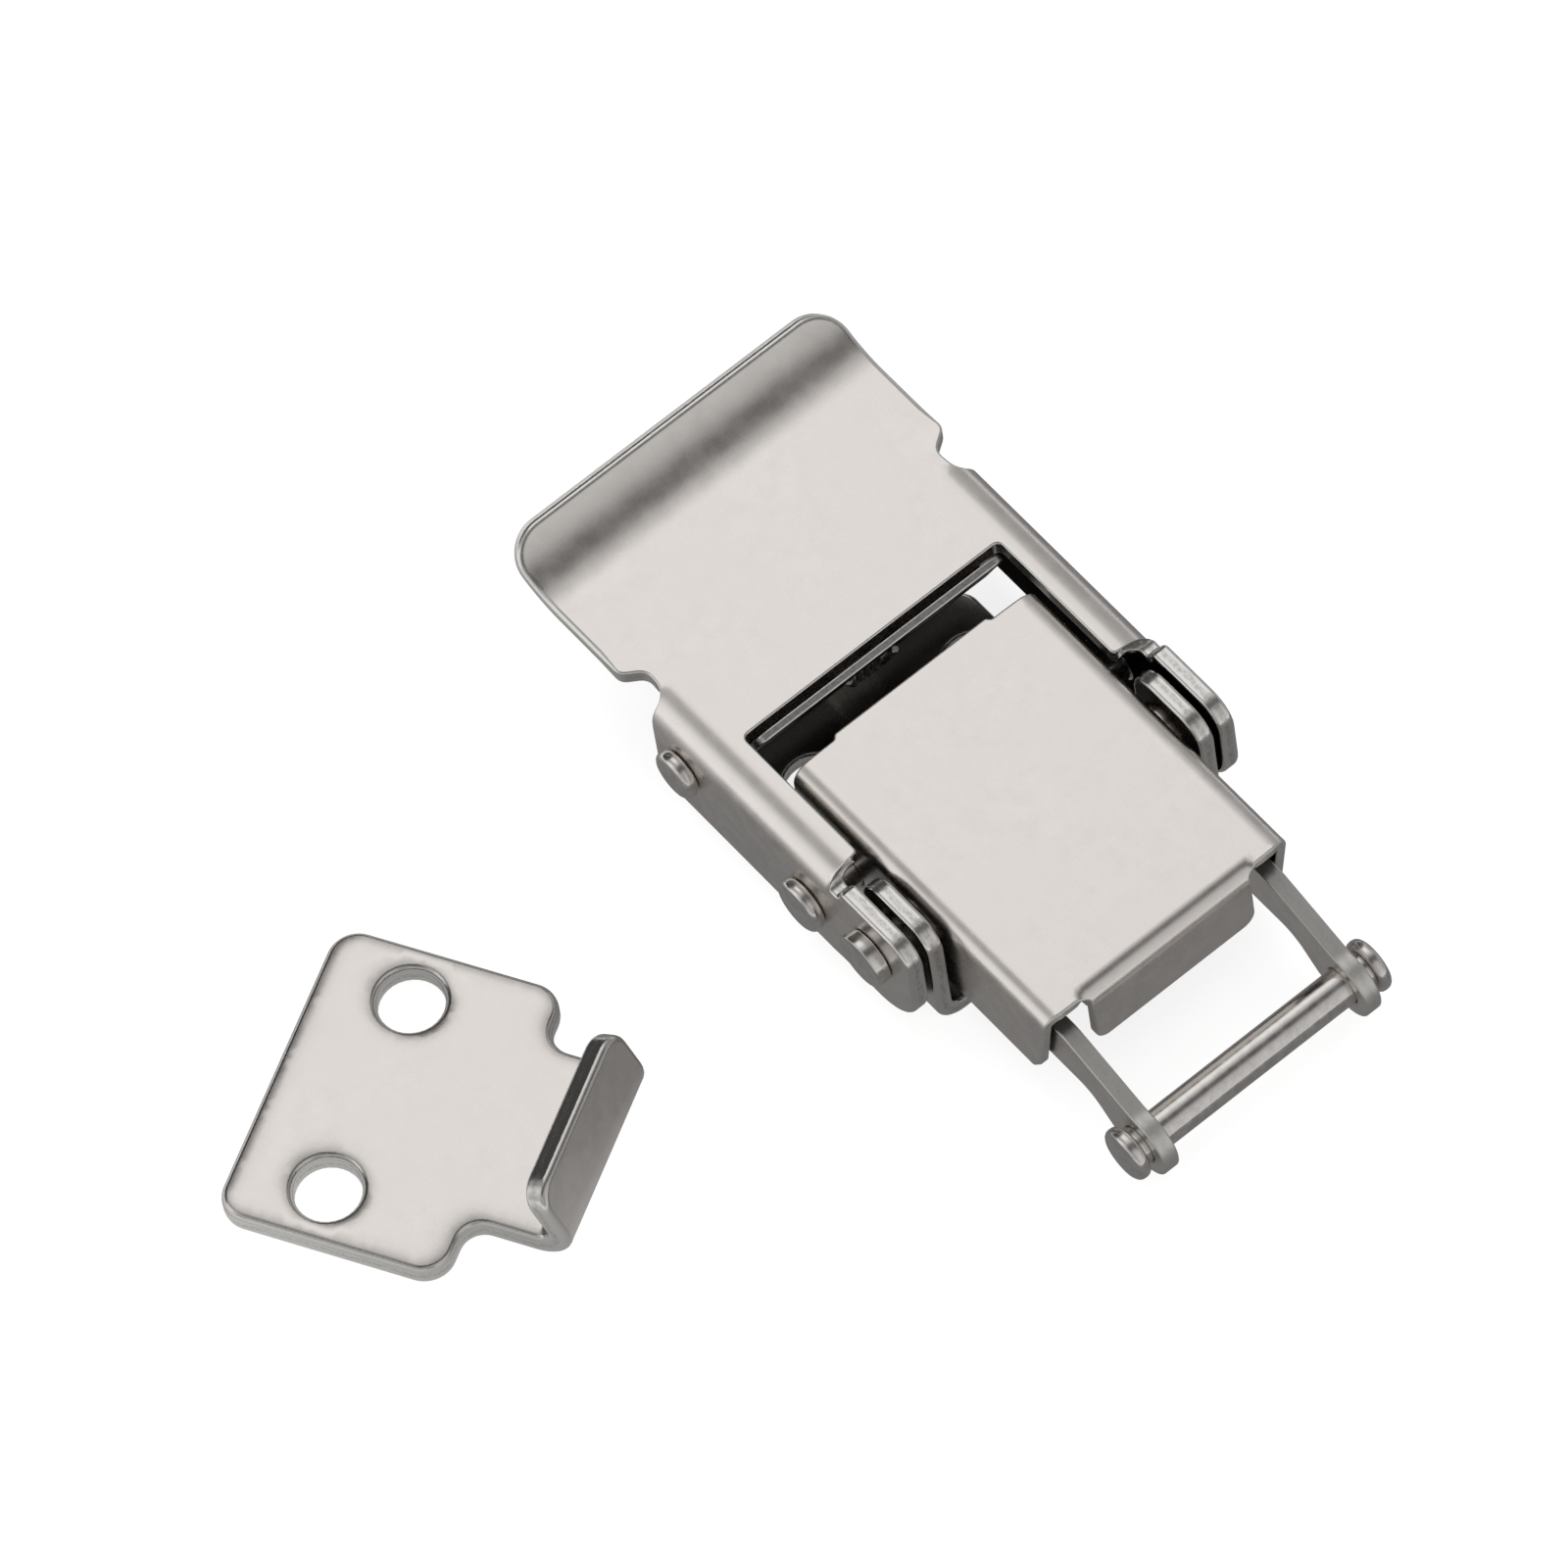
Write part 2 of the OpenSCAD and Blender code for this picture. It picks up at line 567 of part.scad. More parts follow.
// Keeper: plate with two screw holes, a tongue and a lip bent back over it
module keeper()
    color(steel) translate([keeper_x, keeper_y, 0]) rotate(keeper_turn) difference() {
        union() {
            linear_extrude(keeper_t) polygon(outline(keeper_corners()));
            translate([lip_fwd - lip_bend, lip_shift, lip_bend]) rotate([90, 0, 0]) {
                rotate([0, 0, -90]) rotate_extrude(angle = 90 + lip_lean)
                    translate([lip_bend - keeper_t, -lip_w / 2]) square([keeper_t, lip_w]);
                rotate([0, 0, lip_lean]) translate([lip_bend - keeper_t, 0, 0]) rotate([0, 90, 0])
                    linear_extrude(keeper_t) polygon(outline([[-lip_w / 2, 0, 0], [lip_w / 2, 0, 0],
                        [lip_w / 2, lip_l, lip_r], [-lip_w / 2, lip_l, lip_r]]));
            }
        }
        for (s = [-1, 1]) keeper_hole(s * keeper_pitch / 2);
    }

base();
pivot_rivet(-1);  // pivot_rivet_near
pivot_rivet(1);  // pivot_rivet_far
lever();
draw_pin();
rear_pin();
catch_plate();
catch_spring();
case();
draw_bracket();
spring_guide(-1);  // spring_guide_near
spring_guide(1);  // spring_guide_far
draw_spring(-1);  // draw_spring_near
draw_spring(1);  // draw_spring_far
front_pin();
keeper();
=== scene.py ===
"""Dresses the toggle latch and its keeper: folded stainless sheets, turned pins and wire springs.

Lengths in the shape functions are millimetres; meshes are written in metres. Every folded sheet is drawn
flat, as an outline, and then folded: its fold function takes a flat place (u, v) and a height w above the
sheet's middle surface, and gives its place (x, y, z).
"""
import math

import bpy
import numpy as np
from bpy.props import FloatProperty, FloatVectorProperty, IntProperty, PointerProperty
from mathutils import Matrix, Vector
from mathutils.geometry import delaunay_2d_cdt


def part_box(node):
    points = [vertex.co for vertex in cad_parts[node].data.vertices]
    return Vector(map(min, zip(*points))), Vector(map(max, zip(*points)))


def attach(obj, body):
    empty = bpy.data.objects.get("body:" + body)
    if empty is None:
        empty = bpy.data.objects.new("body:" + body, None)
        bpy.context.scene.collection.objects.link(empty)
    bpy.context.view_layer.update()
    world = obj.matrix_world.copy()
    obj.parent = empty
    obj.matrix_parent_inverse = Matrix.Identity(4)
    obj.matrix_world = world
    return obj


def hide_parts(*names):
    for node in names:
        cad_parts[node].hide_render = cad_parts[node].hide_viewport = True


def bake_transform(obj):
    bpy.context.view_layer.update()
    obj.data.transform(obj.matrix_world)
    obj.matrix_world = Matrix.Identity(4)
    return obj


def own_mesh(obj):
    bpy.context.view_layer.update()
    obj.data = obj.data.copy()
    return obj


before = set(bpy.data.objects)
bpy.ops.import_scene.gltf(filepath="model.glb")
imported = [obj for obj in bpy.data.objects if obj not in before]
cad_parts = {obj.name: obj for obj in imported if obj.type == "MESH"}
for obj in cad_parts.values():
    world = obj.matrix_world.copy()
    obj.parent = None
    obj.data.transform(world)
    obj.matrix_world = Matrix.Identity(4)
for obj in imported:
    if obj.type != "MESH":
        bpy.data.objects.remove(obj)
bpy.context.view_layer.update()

bl_info = {
    "name": "Toggle Latch Dresser",
    "version": (1, 0, 0),
    "blender": (4, 5, 0),
    "location": "3D View > Sidebar > Latch",
    "description": "Builds the visible surfaces of a folded toggle latch and its keeper",
    "category": "Object",
}

MM = 0.001


def node_box(node):
    """Lowest and highest corner of a CAD node in millimetres, as two arrays."""
    return [np.array(corner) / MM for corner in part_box(node)]


def axis_of(node):
    """Middle (x, z) of a CAD node that is turned about an axis along Y."""
    low, high = node_box(node)
    return ((low + high) / 2)[[0, 2]]


LEVER_LOW, LEVER_HIGH = node_box("lever")
BASE_LOW, BASE_HIGH = node_box("base")
CASE_LOW, CASE_HIGH = node_box("case")
BRACKET_LOW, BRACKET_HIGH = node_box("draw_bracket")
RIVET_LOW, RIVET_HIGH = node_box("pivot_rivet_far")
PIVOT, DRAW = axis_of("pivot_rivet_far"), axis_of("draw_pin")
REAR, HOOK = axis_of("rear_pin"), axis_of("front_pin")

# Rows of a sheet's rim from its edge to a face, its points' spacing as a share of the mesh's, and how many
# points are compared at a time
ARC_ROWS, RIM_STEP, BLOCK = 5, 0.7, 2000

# Thicknesses of the sheets, and their bends' outside radii
LEVER_T, BASE_T, CASE_T, ARM_T, CATCH_T, KEEPER_T = 1.2, 1.2, 0.75, 1.2, 0.6, 1.8
LEVER_BEND, BASE_BEND, CASE_BEND, CROSS_BEND = 2.3, 2.0, 1.3, 1.6

# Half widths that the frame gives
FLANGE_OUT = LEVER_HIGH[1]
EAR_OUT = BASE_HIGH[1]
EAR_IN = EAR_OUT - BASE_T
CASE_OUT = CASE_HIGH[1]
ARM_OUT = BRACKET_HIGH[1]

# Pins, screw holes and springs
PIN_D, RIVET_D, HOOK_D, HEAD_T, RUN_GAP = 2.6, 2.8, 2.6, 1.0, 0.05
SCREW_D, BASE_PITCH, KEEPER_PITCH = 4.3, 13.0, 14.0
CATCH_GAP, CATCH_WIRE, CATCH_TURNS = 0.65, 0.5, 4
COIL_STEPS = 26
SPRING_D, SPRING_WIRE, SPRING_TURNS, SPRING_Y = 4.2, 0.6, 9, 3.9

# Lever: its top, the height of its relief and the flat half width beyond its tab; then along x its rails'
# front, its window's rear, its flanges' rear, its tab's front and its curl's start
LEVER_TOP, RELIEF_Z, TAB_SIDE = 10.0, 9.1, 12.05
RAIL_FRONT = PIVOT[0] - 4.2
WINDOW_X = PIVOT[0] - 15.4
FLANGE_REAR = PIVOT[0] - 21.3
TAB_FRONT = FLANGE_REAR - 2.8
CURL_X = TAB_FRONT - 5.9
CURL_R, CURL_TURN = 6.6, math.radians(49)
TAB_ROUND = 0.42

# Base, case, bracket and keeper
EAR_REAR = BASE_HIGH[0] - 6.6
CASE_MOUTH = CASE_HIGH[0] - CASE_BEND
FRONT_HALF, CASE_TAB_LOW = 6.4, 4.55
CROSS_REAR = BRACKET_LOW[0]
KEEPER_AT, KEEPER_TURN = np.array([-8.2, -41.2]), math.radians(29.2)
LIP_FWD, LIP_BEND, LIP_LEAN, LIP_L = 15.95, 2.4, math.radians(20), 4.1

# Catch plate: its eye's radii, its top, its lean and its length, and the coil beside the eye
EYE_IN = PIN_D / 2 + RUN_GAP
EYE_MID = EYE_IN + CATCH_T / 2
CATCH_TOP = np.array([WINDOW_X + CATCH_GAP + CATCH_T / 2, LEVER_TOP])
CATCH_REACH = float(np.linalg.norm(CATCH_TOP - REAR))
CATCH_LEAN = (math.atan2(CATCH_TOP[1] - REAR[1], CATCH_TOP[0] - REAR[0])
              + math.asin(EYE_MID / CATCH_REACH))
CATCH_PLATE = math.sqrt(CATCH_REACH ** 2 - EYE_MID ** 2)
COIL_R = EYE_IN + CATCH_T + CATCH_WIRE / 2
COIL_L = (CATCH_TURNS + 0.5) * CATCH_WIRE * 1.1


class LatchSheetSettings(bpy.types.PropertyGroup):
    """Sizes of the folded sheets' edges and of their meshes."""

    edge_round: FloatProperty(
        name="Edge rounding", description="Radius of the tumbled edges of the folded sheets",
        default=0.16 * MM, min=0.05 * MM, max=0.35 * MM, unit="LENGTH", subtype="DISTANCE")
    ear_round: FloatProperty(
        name="Ear rounding", description="Radius of the blunt edges of the ears",
        default=0.28 * MM, min=0.05 * MM, max=0.35 * MM, unit="LENGTH", subtype="DISTANCE")
    keeper_round: FloatProperty(
        name="Keeper rounding", description="Radius of the rolled edges of the keeper",
        default=0.42 * MM, min=0.1 * MM, max=0.6 * MM, unit="LENGTH", subtype="DISTANCE")
    head_round: FloatProperty(
        name="Head rounding", description="Edge radius of the pins' heads",
        default=0.42 * MM, min=0.05 * MM, max=0.45 * MM, unit="LENGTH", subtype="DISTANCE")
    mesh_step: FloatProperty(
        name="Mesh step", description="Spacing of the mesh on a folded sheet",
        default=0.42 * MM, min=0.2 * MM, max=1.0 * MM, unit="LENGTH", subtype="DISTANCE")
    turn_steps: IntProperty(
        name="Steps in a turn", description="Facets round a turned pin", default=72, min=24, max=128)


class LatchFinishSettings(bpy.types.PropertyGroup):
    """Colours and gloss of the stainless steel."""

    sheet_colour: FloatVectorProperty(
        name="Sheet", description="Colour of the tumbled sheet",
        default=(0.83, 0.785, 0.75), min=0.0, max=1.0, size=3, subtype="COLOR")
    cut_colour: FloatVectorProperty(
        name="Sheared edge", description="Colour of the sheared edges",
        default=(0.76, 0.74, 0.71), min=0.0, max=1.0, size=3, subtype="COLOR")
    pin_colour: FloatVectorProperty(
        name="Pins", description="Colour of the turned pins",
        default=(0.78, 0.75, 0.72), min=0.0, max=1.0, size=3, subtype="COLOR")
    sheet_gloss: FloatProperty(
        name="Sheet roughness", description="Roughness of the tumbled sheet",
        default=0.27, min=0.05, max=1.0, subtype="FACTOR")
    pin_gloss: FloatProperty(
        name="Pin roughness", description="Roughness of the turned pins",
        default=0.19, min=0.05, max=1.0, subtype="FACTOR")


class LatchStageSettings(bpy.types.PropertyGroup):
    """Floor, light and camera."""

    floor_colour: FloatVectorProperty(
        name="Floor", description="Colour of the pale floor",
        default=(0.8, 0.8, 0.8), min=0.0, max=1.0, size=3, subtype="COLOR")
    floor_glow: FloatProperty(
        name="Floor glow", description="Lift of the floor towards white",
        default=0.8, min=0.0, max=1.0, subtype="FACTOR")
    # painted shadow: the tone of the grey card round the latch, as metal sees it
    shadow_card_tone: FloatProperty(
        name="Card tone", description="Brightness of the card under the latch, in its metal",
        default=0.2, min=0.0, max=1.0, subtype="FACTOR")
    world_light: FloatProperty(
        name="World light", description="Strength of the even light from all round",
        default=0.34, min=0.0, max=2.0)
    key_light: FloatProperty(
        name="Overhead light", description="Power of the large overhead panel",
        default=0.3, min=0.0, max=50.0, unit="POWER")
    lens: FloatProperty(
        name="Lens", description="Focal length of the camera",
        default=401.6, min=50.0, max=800.0, subtype="DISTANCE_CAMERA")


def size(key):
    """A radius or spacing from the sheets' settings, in millimetres."""
    return getattr(bpy.context.scene.latch_sheet, key) / MM


def unit(v):
    """Rows of v scaled to length one."""
    return v / np.maximum(np.linalg.norm(v, axis=1, keepdims=True), 1e-12)


def ease(t):
    """Goes from 0 to 1 as t does, and leaves and arrives level: 3 t squared less 2 t cubed."""
    t = np.clip(t, 0, 1)
    return t * t * (3 - 2 * t)


def area(loop):
    """Signed area of a closed loop, positive when it runs anticlockwise."""
    ahead = np.roll(loop, -1, axis=0)
    return 0.5 * (loop[:, 0] * ahead[:, 1] - loop[:, 1] * ahead[:, 0]).sum()


def outline(corners, step):
    """Closed path through corners (x, y, radius): each corner is the arc tangent to both its sides, and the
    long sides are cut into equal lengths no longer than step."""
    parts = []
    spare = [math.dist(corners[i - 1][:2], corners[i][:2]) for i in range(len(corners))]
    for i, (x, y, r) in enumerate(corners):
        p = np.array([x, y])
        if r <= 0:
            parts.append(p[None])
            continue
        a = np.array(corners[i - 1][:2]) - p
        b = np.array(corners[(i + 1) % len(corners)][:2]) - p
        a, b = a / np.linalg.norm(a), b / np.linalg.norm(b)
        half = math.acos(float(np.clip(a @ b, -1, 1))) / 2
        spare[i] -= r / math.tan(half)
        spare[(i + 1) % len(corners)] -= r / math.tan(half)
        centre = p + (a + b) / np.linalg.norm(a + b) * r / math.sin(half)
        start = p + a * r / math.tan(half) - centre
        end = p + b * r / math.tan(half) - centre
        first = math.atan2(start[1], start[0])
        turn = math.atan2(start[0] * end[1] - start[1] * end[0], start @ end)
        t = first + turn * np.linspace(0, 1, max(5, int(abs(turn) * r / step) + 2))
        parts.append(centre + r * np.stack([np.cos(t), np.sin(t)], 1))
    if min(spare) < -1e-6:
        raise RuntimeError(f"no room for the arcs before corner {corners[int(np.argmin(spare))]}")
    path = np.concatenate(parts)
    ahead = np.roll(path, -1, axis=0)
    length = np.linalg.norm(ahead - path, axis=1)
    path, ahead, length = path[length > 1e-6], ahead[length > 1e-6], length[length > 1e-6]
    count = np.maximum(1, np.ceil(length / step)).astype(int)
    index = np.repeat(np.arange(len(path)), count)
    part = (np.arange(count.sum()) - np.repeat(np.cumsum(count) - count, count)) / np.repeat(count, count)
    return path[index] + (ahead - path)[index] * part[:, None]


def hole(x, y, diameter, step):
    """Closed circle of the given diameter round (x, y)."""
    t = np.linspace(0, 2 * np.pi, max(32, int(np.pi * diameter / step)), endpoint=False)
    return np.stack([x + diameter / 2 * np.cos(t), y + diameter / 2 * np.sin(t)], 1)


def hole_pair(x, y, diameter, step):
    """Two circles, round (x, -y) and (x, y)."""
    return [hole(x, side * y, diameter, step) for side in (-1, 1)]


def mirrored(corners):
    """A half outline for y > 0, from one end to the other, closed with its mirror image in y."""
    return corners + [(x, -y, r) for x, y, r in reversed(corners)]


def bend(s, w, start, radius, angle):
    """Places on a strip that is straight up to start, then follows an arc of the given middle radius through
    angle, and is straight again. s is the length along the strip and w the height over its middle, on the
    outside of the bend. Returns the distance along the straight part's line and the drop below it."""
    turn = np.clip((s - start) / radius, 0, angle)
    rest = np.maximum(s - start - radius * angle, 0)
    along = np.minimum(s, start) + radius * np.sin(turn) + rest * math.cos(angle) + w * np.sin(turn)
    drop = radius * (1 - np.cos(turn)) + rest * math.sin(angle) - w * np.cos(turn)
    return along, drop


def bend_end(out, radius, thick):
    """Flat half width at which the side of a channel leaves its bend; out is the channel's half width and
    radius the bend's outside radius."""
    return out - radius + (radius - thick / 2) * math.pi / 2


def inside(points, loops):
    """Which points lie inside the loops by the even-odd rule: a point is inside when a line drawn from it to
    the right crosses the loops' sides an odd number of times."""
    odd = np.zeros(len(points), bool)
    for loop in loops:
        a, b = loop, np.roll(loop, -1, axis=0)
        rise = np.where(b[:, 1] == a[:, 1], 1.0, b[:, 1] - a[:, 1])
        for first in range(0, len(points), BLOCK):
            x, y = points[first:first + BLOCK, 0:1], points[first:first + BLOCK, 1:2]
            spans = (a[None, :, 1] > y) != (b[None, :, 1] > y)
            cross = a[:, 0] + (y - a[:, 1]) * (b[:, 0] - a[:, 0]) / rise
            odd[first:first + BLOCK] ^= (spans & (x < cross)).sum(1) % 2 == 1
    return odd


def nearest(points, loops):
    """For each point, the nearest point of the loops."""
    rim = np.concatenate(loops)
    parts = [((points[i:i + BLOCK, None] - rim[None]) ** 2).sum(2).argmin(1)
             for i in range(0, len(points), BLOCK)]
    return rim[np.concatenate(parts)]


def flat_net(name, rings, low, high, step):
    """Net of a flat face: a square grid of points from low to high, kept inside the rings and clear of them,
    and a constrained Delaunay triangulation of the rings' points and the grid's. Returns the grid's points,
    and the triangles, where the rings' points are numbered first."""
    columns = (np.arange(low[axis] + step / 2, high[axis], step) for axis in (0, 1))
    grid = np.stack(np.meshgrid(*columns, indexing="ij"), 2).reshape(-1, 2)
    grid = grid[inside(grid, rings)]
    grid = grid[np.linalg.norm(nearest(grid, rings) - grid, axis=1) > 0.55 * step]
    net = np.concatenate(rings + [grid])
    sides, base = [], 0
    for ring in rings:
        sides += [(base + j, base + (j + 1) % len(ring)) for j in range(len(ring))]
        base += len(ring)
    found, _, triangles, source, _, _ = delaunay_2d_cdt([Vector(p) for p in net], sides, [], 0, 1e-7, True)
    if len(found) != len(net):
        raise RuntimeError(f"{name}: its outline crosses itself")
    source = np.array([s[0] for s in source])
    triangles = source[np.array([t for t in triangles if len(t) == 3])]
    return grid, triangles[inside(net[triangles].mean(1), rings)]


def write_mesh(name, points, faces, slots=None, normals=None, flat=None):
    """Makes an object at the origin from points in millimetres. faces is a list of arrays of triangles or
    quads. It may have a material slot for each of these arrays, a normal for each point, and the flat place
    (u, v, w) that each point had before it was folded."""
    mesh = bpy.data.meshes.new(name)
    sizes = np.concatenate([np.full(len(f), f.shape[1]) for f in faces])
    corners = np.concatenate([f.ravel() for f in faces]).astype(np.int32)
    mesh.vertices.add(len(points))
    mesh.vertices.foreach_set("co", (points * MM).astype(np.float32).ravel())
    mesh.loops.add(len(corners))
    mesh.loops.foreach_set("vertex_index", corners)
    mesh.polygons.add(len(sizes))
    mesh.polygons.foreach_set("loop_start", (np.cumsum(sizes) - sizes).astype(np.int32))
    mesh.polygons.foreach_set("use_smooth", np.ones(len(sizes), bool))
    if slots is not None:
        index = np.concatenate([np.full(len(f), s, np.int32) for f, s in zip(faces, slots)])
        mesh.polygons.foreach_set("material_index", index)
    mesh.update(calc_edges=True)
    if mesh.validate():
        raise RuntimeError(f"{name}: its mesh isn't sound")
    if flat is not None:
        layer = mesh.attributes.new("flat", "FLOAT_VECTOR", "POINT")
        layer.data.foreach_set("vector", flat.astype(np.float32).ravel())
    if normals is not None:
        mesh.normals_split_custom_set_from_vertices(normals)
    piece = bpy.data.objects.new(name, mesh)
    bpy.context.collection.objects.link(piece)
    return piece


def ring_quads(count, sides):
    """Quads between neighbouring rings of a body of count rings with sides points each."""
    i, k = np.meshgrid(np.arange(count - 1), np.arange(sides), indexing="ij")
    here, ahead = i * sides + k, i * sides + (k + 1) % sides
    return np.stack([here, ahead, ahead + sides, here + sides], 2).reshape(-1, 4)


def fan(first, sides, hub):
    """Triangles from a ring of sides points, numbered from first, to the point hub."""
    k = np.arange(sides)
    return np.stack([first + k, first + (k + 1) % sides, np.full(sides, hub)], 1)


def tube_faces(count, sides):
    """Faces of a body of count rings with sides points each, closed at both ends: quads between the rings,
    and fans to the two points that are numbered after them."""
    ends = count * sides
    fans = [fan(0, sides, ends)[:, [1, 0, 2]], fan(ends - sides, sides, ends + 1)]
    return [ring_quads(count, sides), np.concatenate(fans)]


def folded_sheet(name, loops, fold, thick, edge, step, roll=(0.0, 1.0)):
    """A folded sheet. Its rim is a half-round profile, of radius edge at both faces, carried along every
    loop; edge is a number, or a function of the loop's points. Its two faces are the same flat net of
    triangles at height +thick/2 and -thick/2; fold takes all of it to its place. The upper face is drawn
    down towards its edge by depth * exp(-distance / reach), as blanking leaves it, with (depth, reach) in
    roll. The mesh keeps the flat place (u, v, w) of its points."""
    loops = [loop if (area(loop) > 0) == (i == 0) else loop[::-1] for i, loop in enumerate(loops)]
    depth, reach = roll
    arc = np.linspace(0, np.pi / 2, ARC_ROWS)
    lean = np.concatenate([arc, arc[::-1]])
    facing = np.repeat([1.0, -1.0], ARC_ROWS)
    rows = len(lean)
    flat, outward, tilt, faces, first, inner = [], [], [], [], 0, []
    for loop in loops:
        tangent = unit(np.roll(loop, -1, axis=0) - np.roll(loop, 1, axis=0))
        inward = np.stack([-tangent[:, 1], tangent[:, 0]], 1)
        n = len(loop)
        radius = (edge(loop) if callable(edge) else np.full(n, edge))[:, None]
        inset = radius * (1 - np.sin(lean))
        drawn = depth * np.exp(-inset / reach) * (facing > 0)
        height = facing * (thick / 2 - radius * (1 - np.cos(lean))) - drawn
        place = loop[:, None] + inward[:, None] * inset[:, :, None]
        flat.append(np.concatenate([place, height[:, :, None]], 2).reshape(-1, 3))
        outward.append(np.repeat(-inward, rows, axis=0))
        turn = np.minimum(lean + np.arctan(drawn / reach), np.pi / 2)
        tilt.append(np.stack([np.sin(turn), facing * np.cos(turn)], 2).reshape(-1, 2))
        i, k = np.meshgrid(np.arange(n), np.arange(rows - 1), indexing="ij")
        here, there = first + i * rows + k, first + (i + 1) % n * rows + k
        faces.append(np.stack([here, here + 1, there + 1, there], 2).reshape(-1, 4))
        inner.append((loop + inward * radius, first + np.arange(n) * rows))
        first += n * rows
    grid, triangles = flat_net(name, [ring for ring, _ in inner], loops[0].min(0), loops[0].max(0), step)
    side_on = nearest(grid, loops) - grid
    away = np.linalg.norm(side_on, axis=1)
    rims, spots = [rows_of for _, rows_of in inner], first + np.arange(len(grid))
    top = np.concatenate(rims + [spots])
    bottom = np.concatenate([rim + rows - 1 for rim in rims] + [spots + len(grid)])
    for side in (1, -1):
        drawn = depth * np.exp(-away / reach) * (side > 0)
        flat.append(np.stack([*grid.T, side * thick / 2 - drawn], 1))
        outward.append(unit(side_on))
        tilt.append(unit(np.stack([drawn / reach, np.full(len(grid), float(side))], 1)))
    flat, outward, tilt = (np.concatenate(x) for x in (flat, outward, tilt))
    points = np.stack(fold(*flat.T), 1)
    small = 1e-3
    up = unit(np.stack(fold(flat[:, 0], flat[:, 1], flat[:, 2] + small), 1) - points)
    out = unit(np.stack(fold(*(flat[:, :2] + small * outward).T, flat[:, 2]), 1) - points)
    normals = unit(out * tilt[:, :1] + up * tilt[:, 1:])
    faces = [top[triangles], bottom[triangles][:, ::-1], np.concatenate(faces)]
    a, b, c = (points[faces[0][:, k]] for k in range(3))
    if (np.cross(b - a, c - a) * normals[faces[0][:, 0]]).sum() < 0:
        faces = [f[:, ::-1] for f in faces]
    return write_mesh(name, points, faces, (0, 0, 1), normals, flat)


def profile_rows(corners, edge):
    """Half profile through corners (radius, height, soft), each soft one an arc of radius edge."""
    return outline([(0.0, corners[0][1], 0)] + [(r, h, edge if soft else 0) for r, h, soft in corners]
                   + [(0.0, corners[-1][1], 0)], 10.0)


def turned(name, profile, centre, side, steps):
    """Solid of revolution about an axis along Y through centre (x, z). The profile is (radius, height) from
    one end of the axis to the other; its height runs along side times Y, and the ring at each profile point
    is a circle."""
    profile = profile[np.r_[True, np.linalg.norm(np.diff(profile, axis=0), axis=1) > 1e-6]]
    ring = profile[1:-1]
    t = np.linspace(0, 2 * np.pi, steps, endpoint=False)
    body = np.stack([ring[:, None, 0] * np.cos(t), np.broadcast_to(ring[:, None, 1], (len(ring), steps)),
                     ring[:, None, 0] * np.sin(t)], 2).reshape(-1, 3)
    points = np.concatenate([body, [[0, profile[0, 1], 0], [0, profile[-1, 1], 0]]])
    faces = tube_faces(len(ring), steps)
    points[:, 1] *= side
    points += [centre[0], 0, centre[1]]
    if side > 0:
        faces = [f[:, ::-1] for f in faces]
    return shade_by_angle(name, points, faces)


def shade_by_angle(name, points, faces):
    """A turned or wire piece, shaded by its surface's own normals, with sharp edges over 35 degrees."""
    piece = write_mesh(name, points, faces)
    piece.data.set_sharp_from_angle(angle=math.radians(35))
    return piece


def wire(name, path, diameter, axis, sides=12):
    """Round wire: a circle of the given diameter carried along path, square to it, with blunted ends. The
    circle's first direction is the path's direction crossed with axis, which never lies along the path."""
    along = unit(np.gradient(path, axis=0))
    first = unit(np.cross(along, np.array(axis, float)))
    second = np.cross(along, first)
    radius = diameter / 2
    tip = along[[0, -1]] * radius * 0.15
    path = np.concatenate([path[:1] - tip[:1], path, path[-1:] + tip[1:]])
    first = np.concatenate([first[:1], first, first[-1:]])
    second = np.concatenate([second[:1], second, second[-1:]])
    scale = np.full(len(path), radius)
    scale[[0, -1]] = radius * 0.8
    t = np.linspace(0, 2 * np.pi, sides, endpoint=False)
    spread = first[:, None] * np.cos(t)[None, :, None] + second[:, None] * np.sin(t)[None, :, None]
    body = (path[:, None] + spread * scale[:, None, None]).reshape(-1, 3)
    points = np.concatenate([body, path[:1], path[-1:]])
    return shade_by_angle(name, points, tube_faces(len(path), sides))


def link(tree, source, target):
    """Joins an output socket to an input socket of a node tree."""
    tree.links.new(source, target)


def noise(tree, vector, scale, detail=3.0, roughness=0.55, stretch=None):
    """Noise of the given scale per metre on a vector socket, stretched along one axis if asked."""
    if stretch is not None:
        mapping = tree.nodes.new("ShaderNodeMapping")
        mapping.inputs["Scale"].default_value = stretch
        link(tree, vector, mapping.inputs["Vector"])
        vector = mapping.outputs["Vector"]
    made = tree.nodes.new("ShaderNodeTexNoise")
    made.inputs["Scale"].default_value = scale
    made.inputs["Detail"].default_value = detail
    made.inputs["Roughness"].default_value = roughness
    link(tree, vector, made.inputs["Vector"])
    return made.outputs["Fac"]


def ramp(tree, value, low, high, to_low, to_high):
    """A value taken from the range low to high into the range to_low to to_high, clamped."""
    made = tree.nodes.new("ShaderNodeMapRange")
    for key, number in (("From Min", low), ("From Max", high), ("To Min", to_low), ("To Max", to_high)):
        made.inputs[key].default_value = number
    link(tree, value, made.inputs["Value"])
    return made.outputs["Result"]


def blend(tree, factor, dark, light):
    """Colour between dark and light by factor."""
    made = tree.nodes.new("ShaderNodeMix")
    made.data_type = "RGBA"
    for socket, colour in (("A", dark), ("B", light)):
        target = next(s for s in made.inputs if s.name == socket and s.type == "RGBA")
        if isinstance(colour, bpy.types.NodeSocket):
            link(tree, colour, target)
        else:
            target.default_value = (*colour, 1.0)
    link(tree, factor, made.inputs["Factor"])
    return next(s for s in made.outputs if s.type == "RGBA")


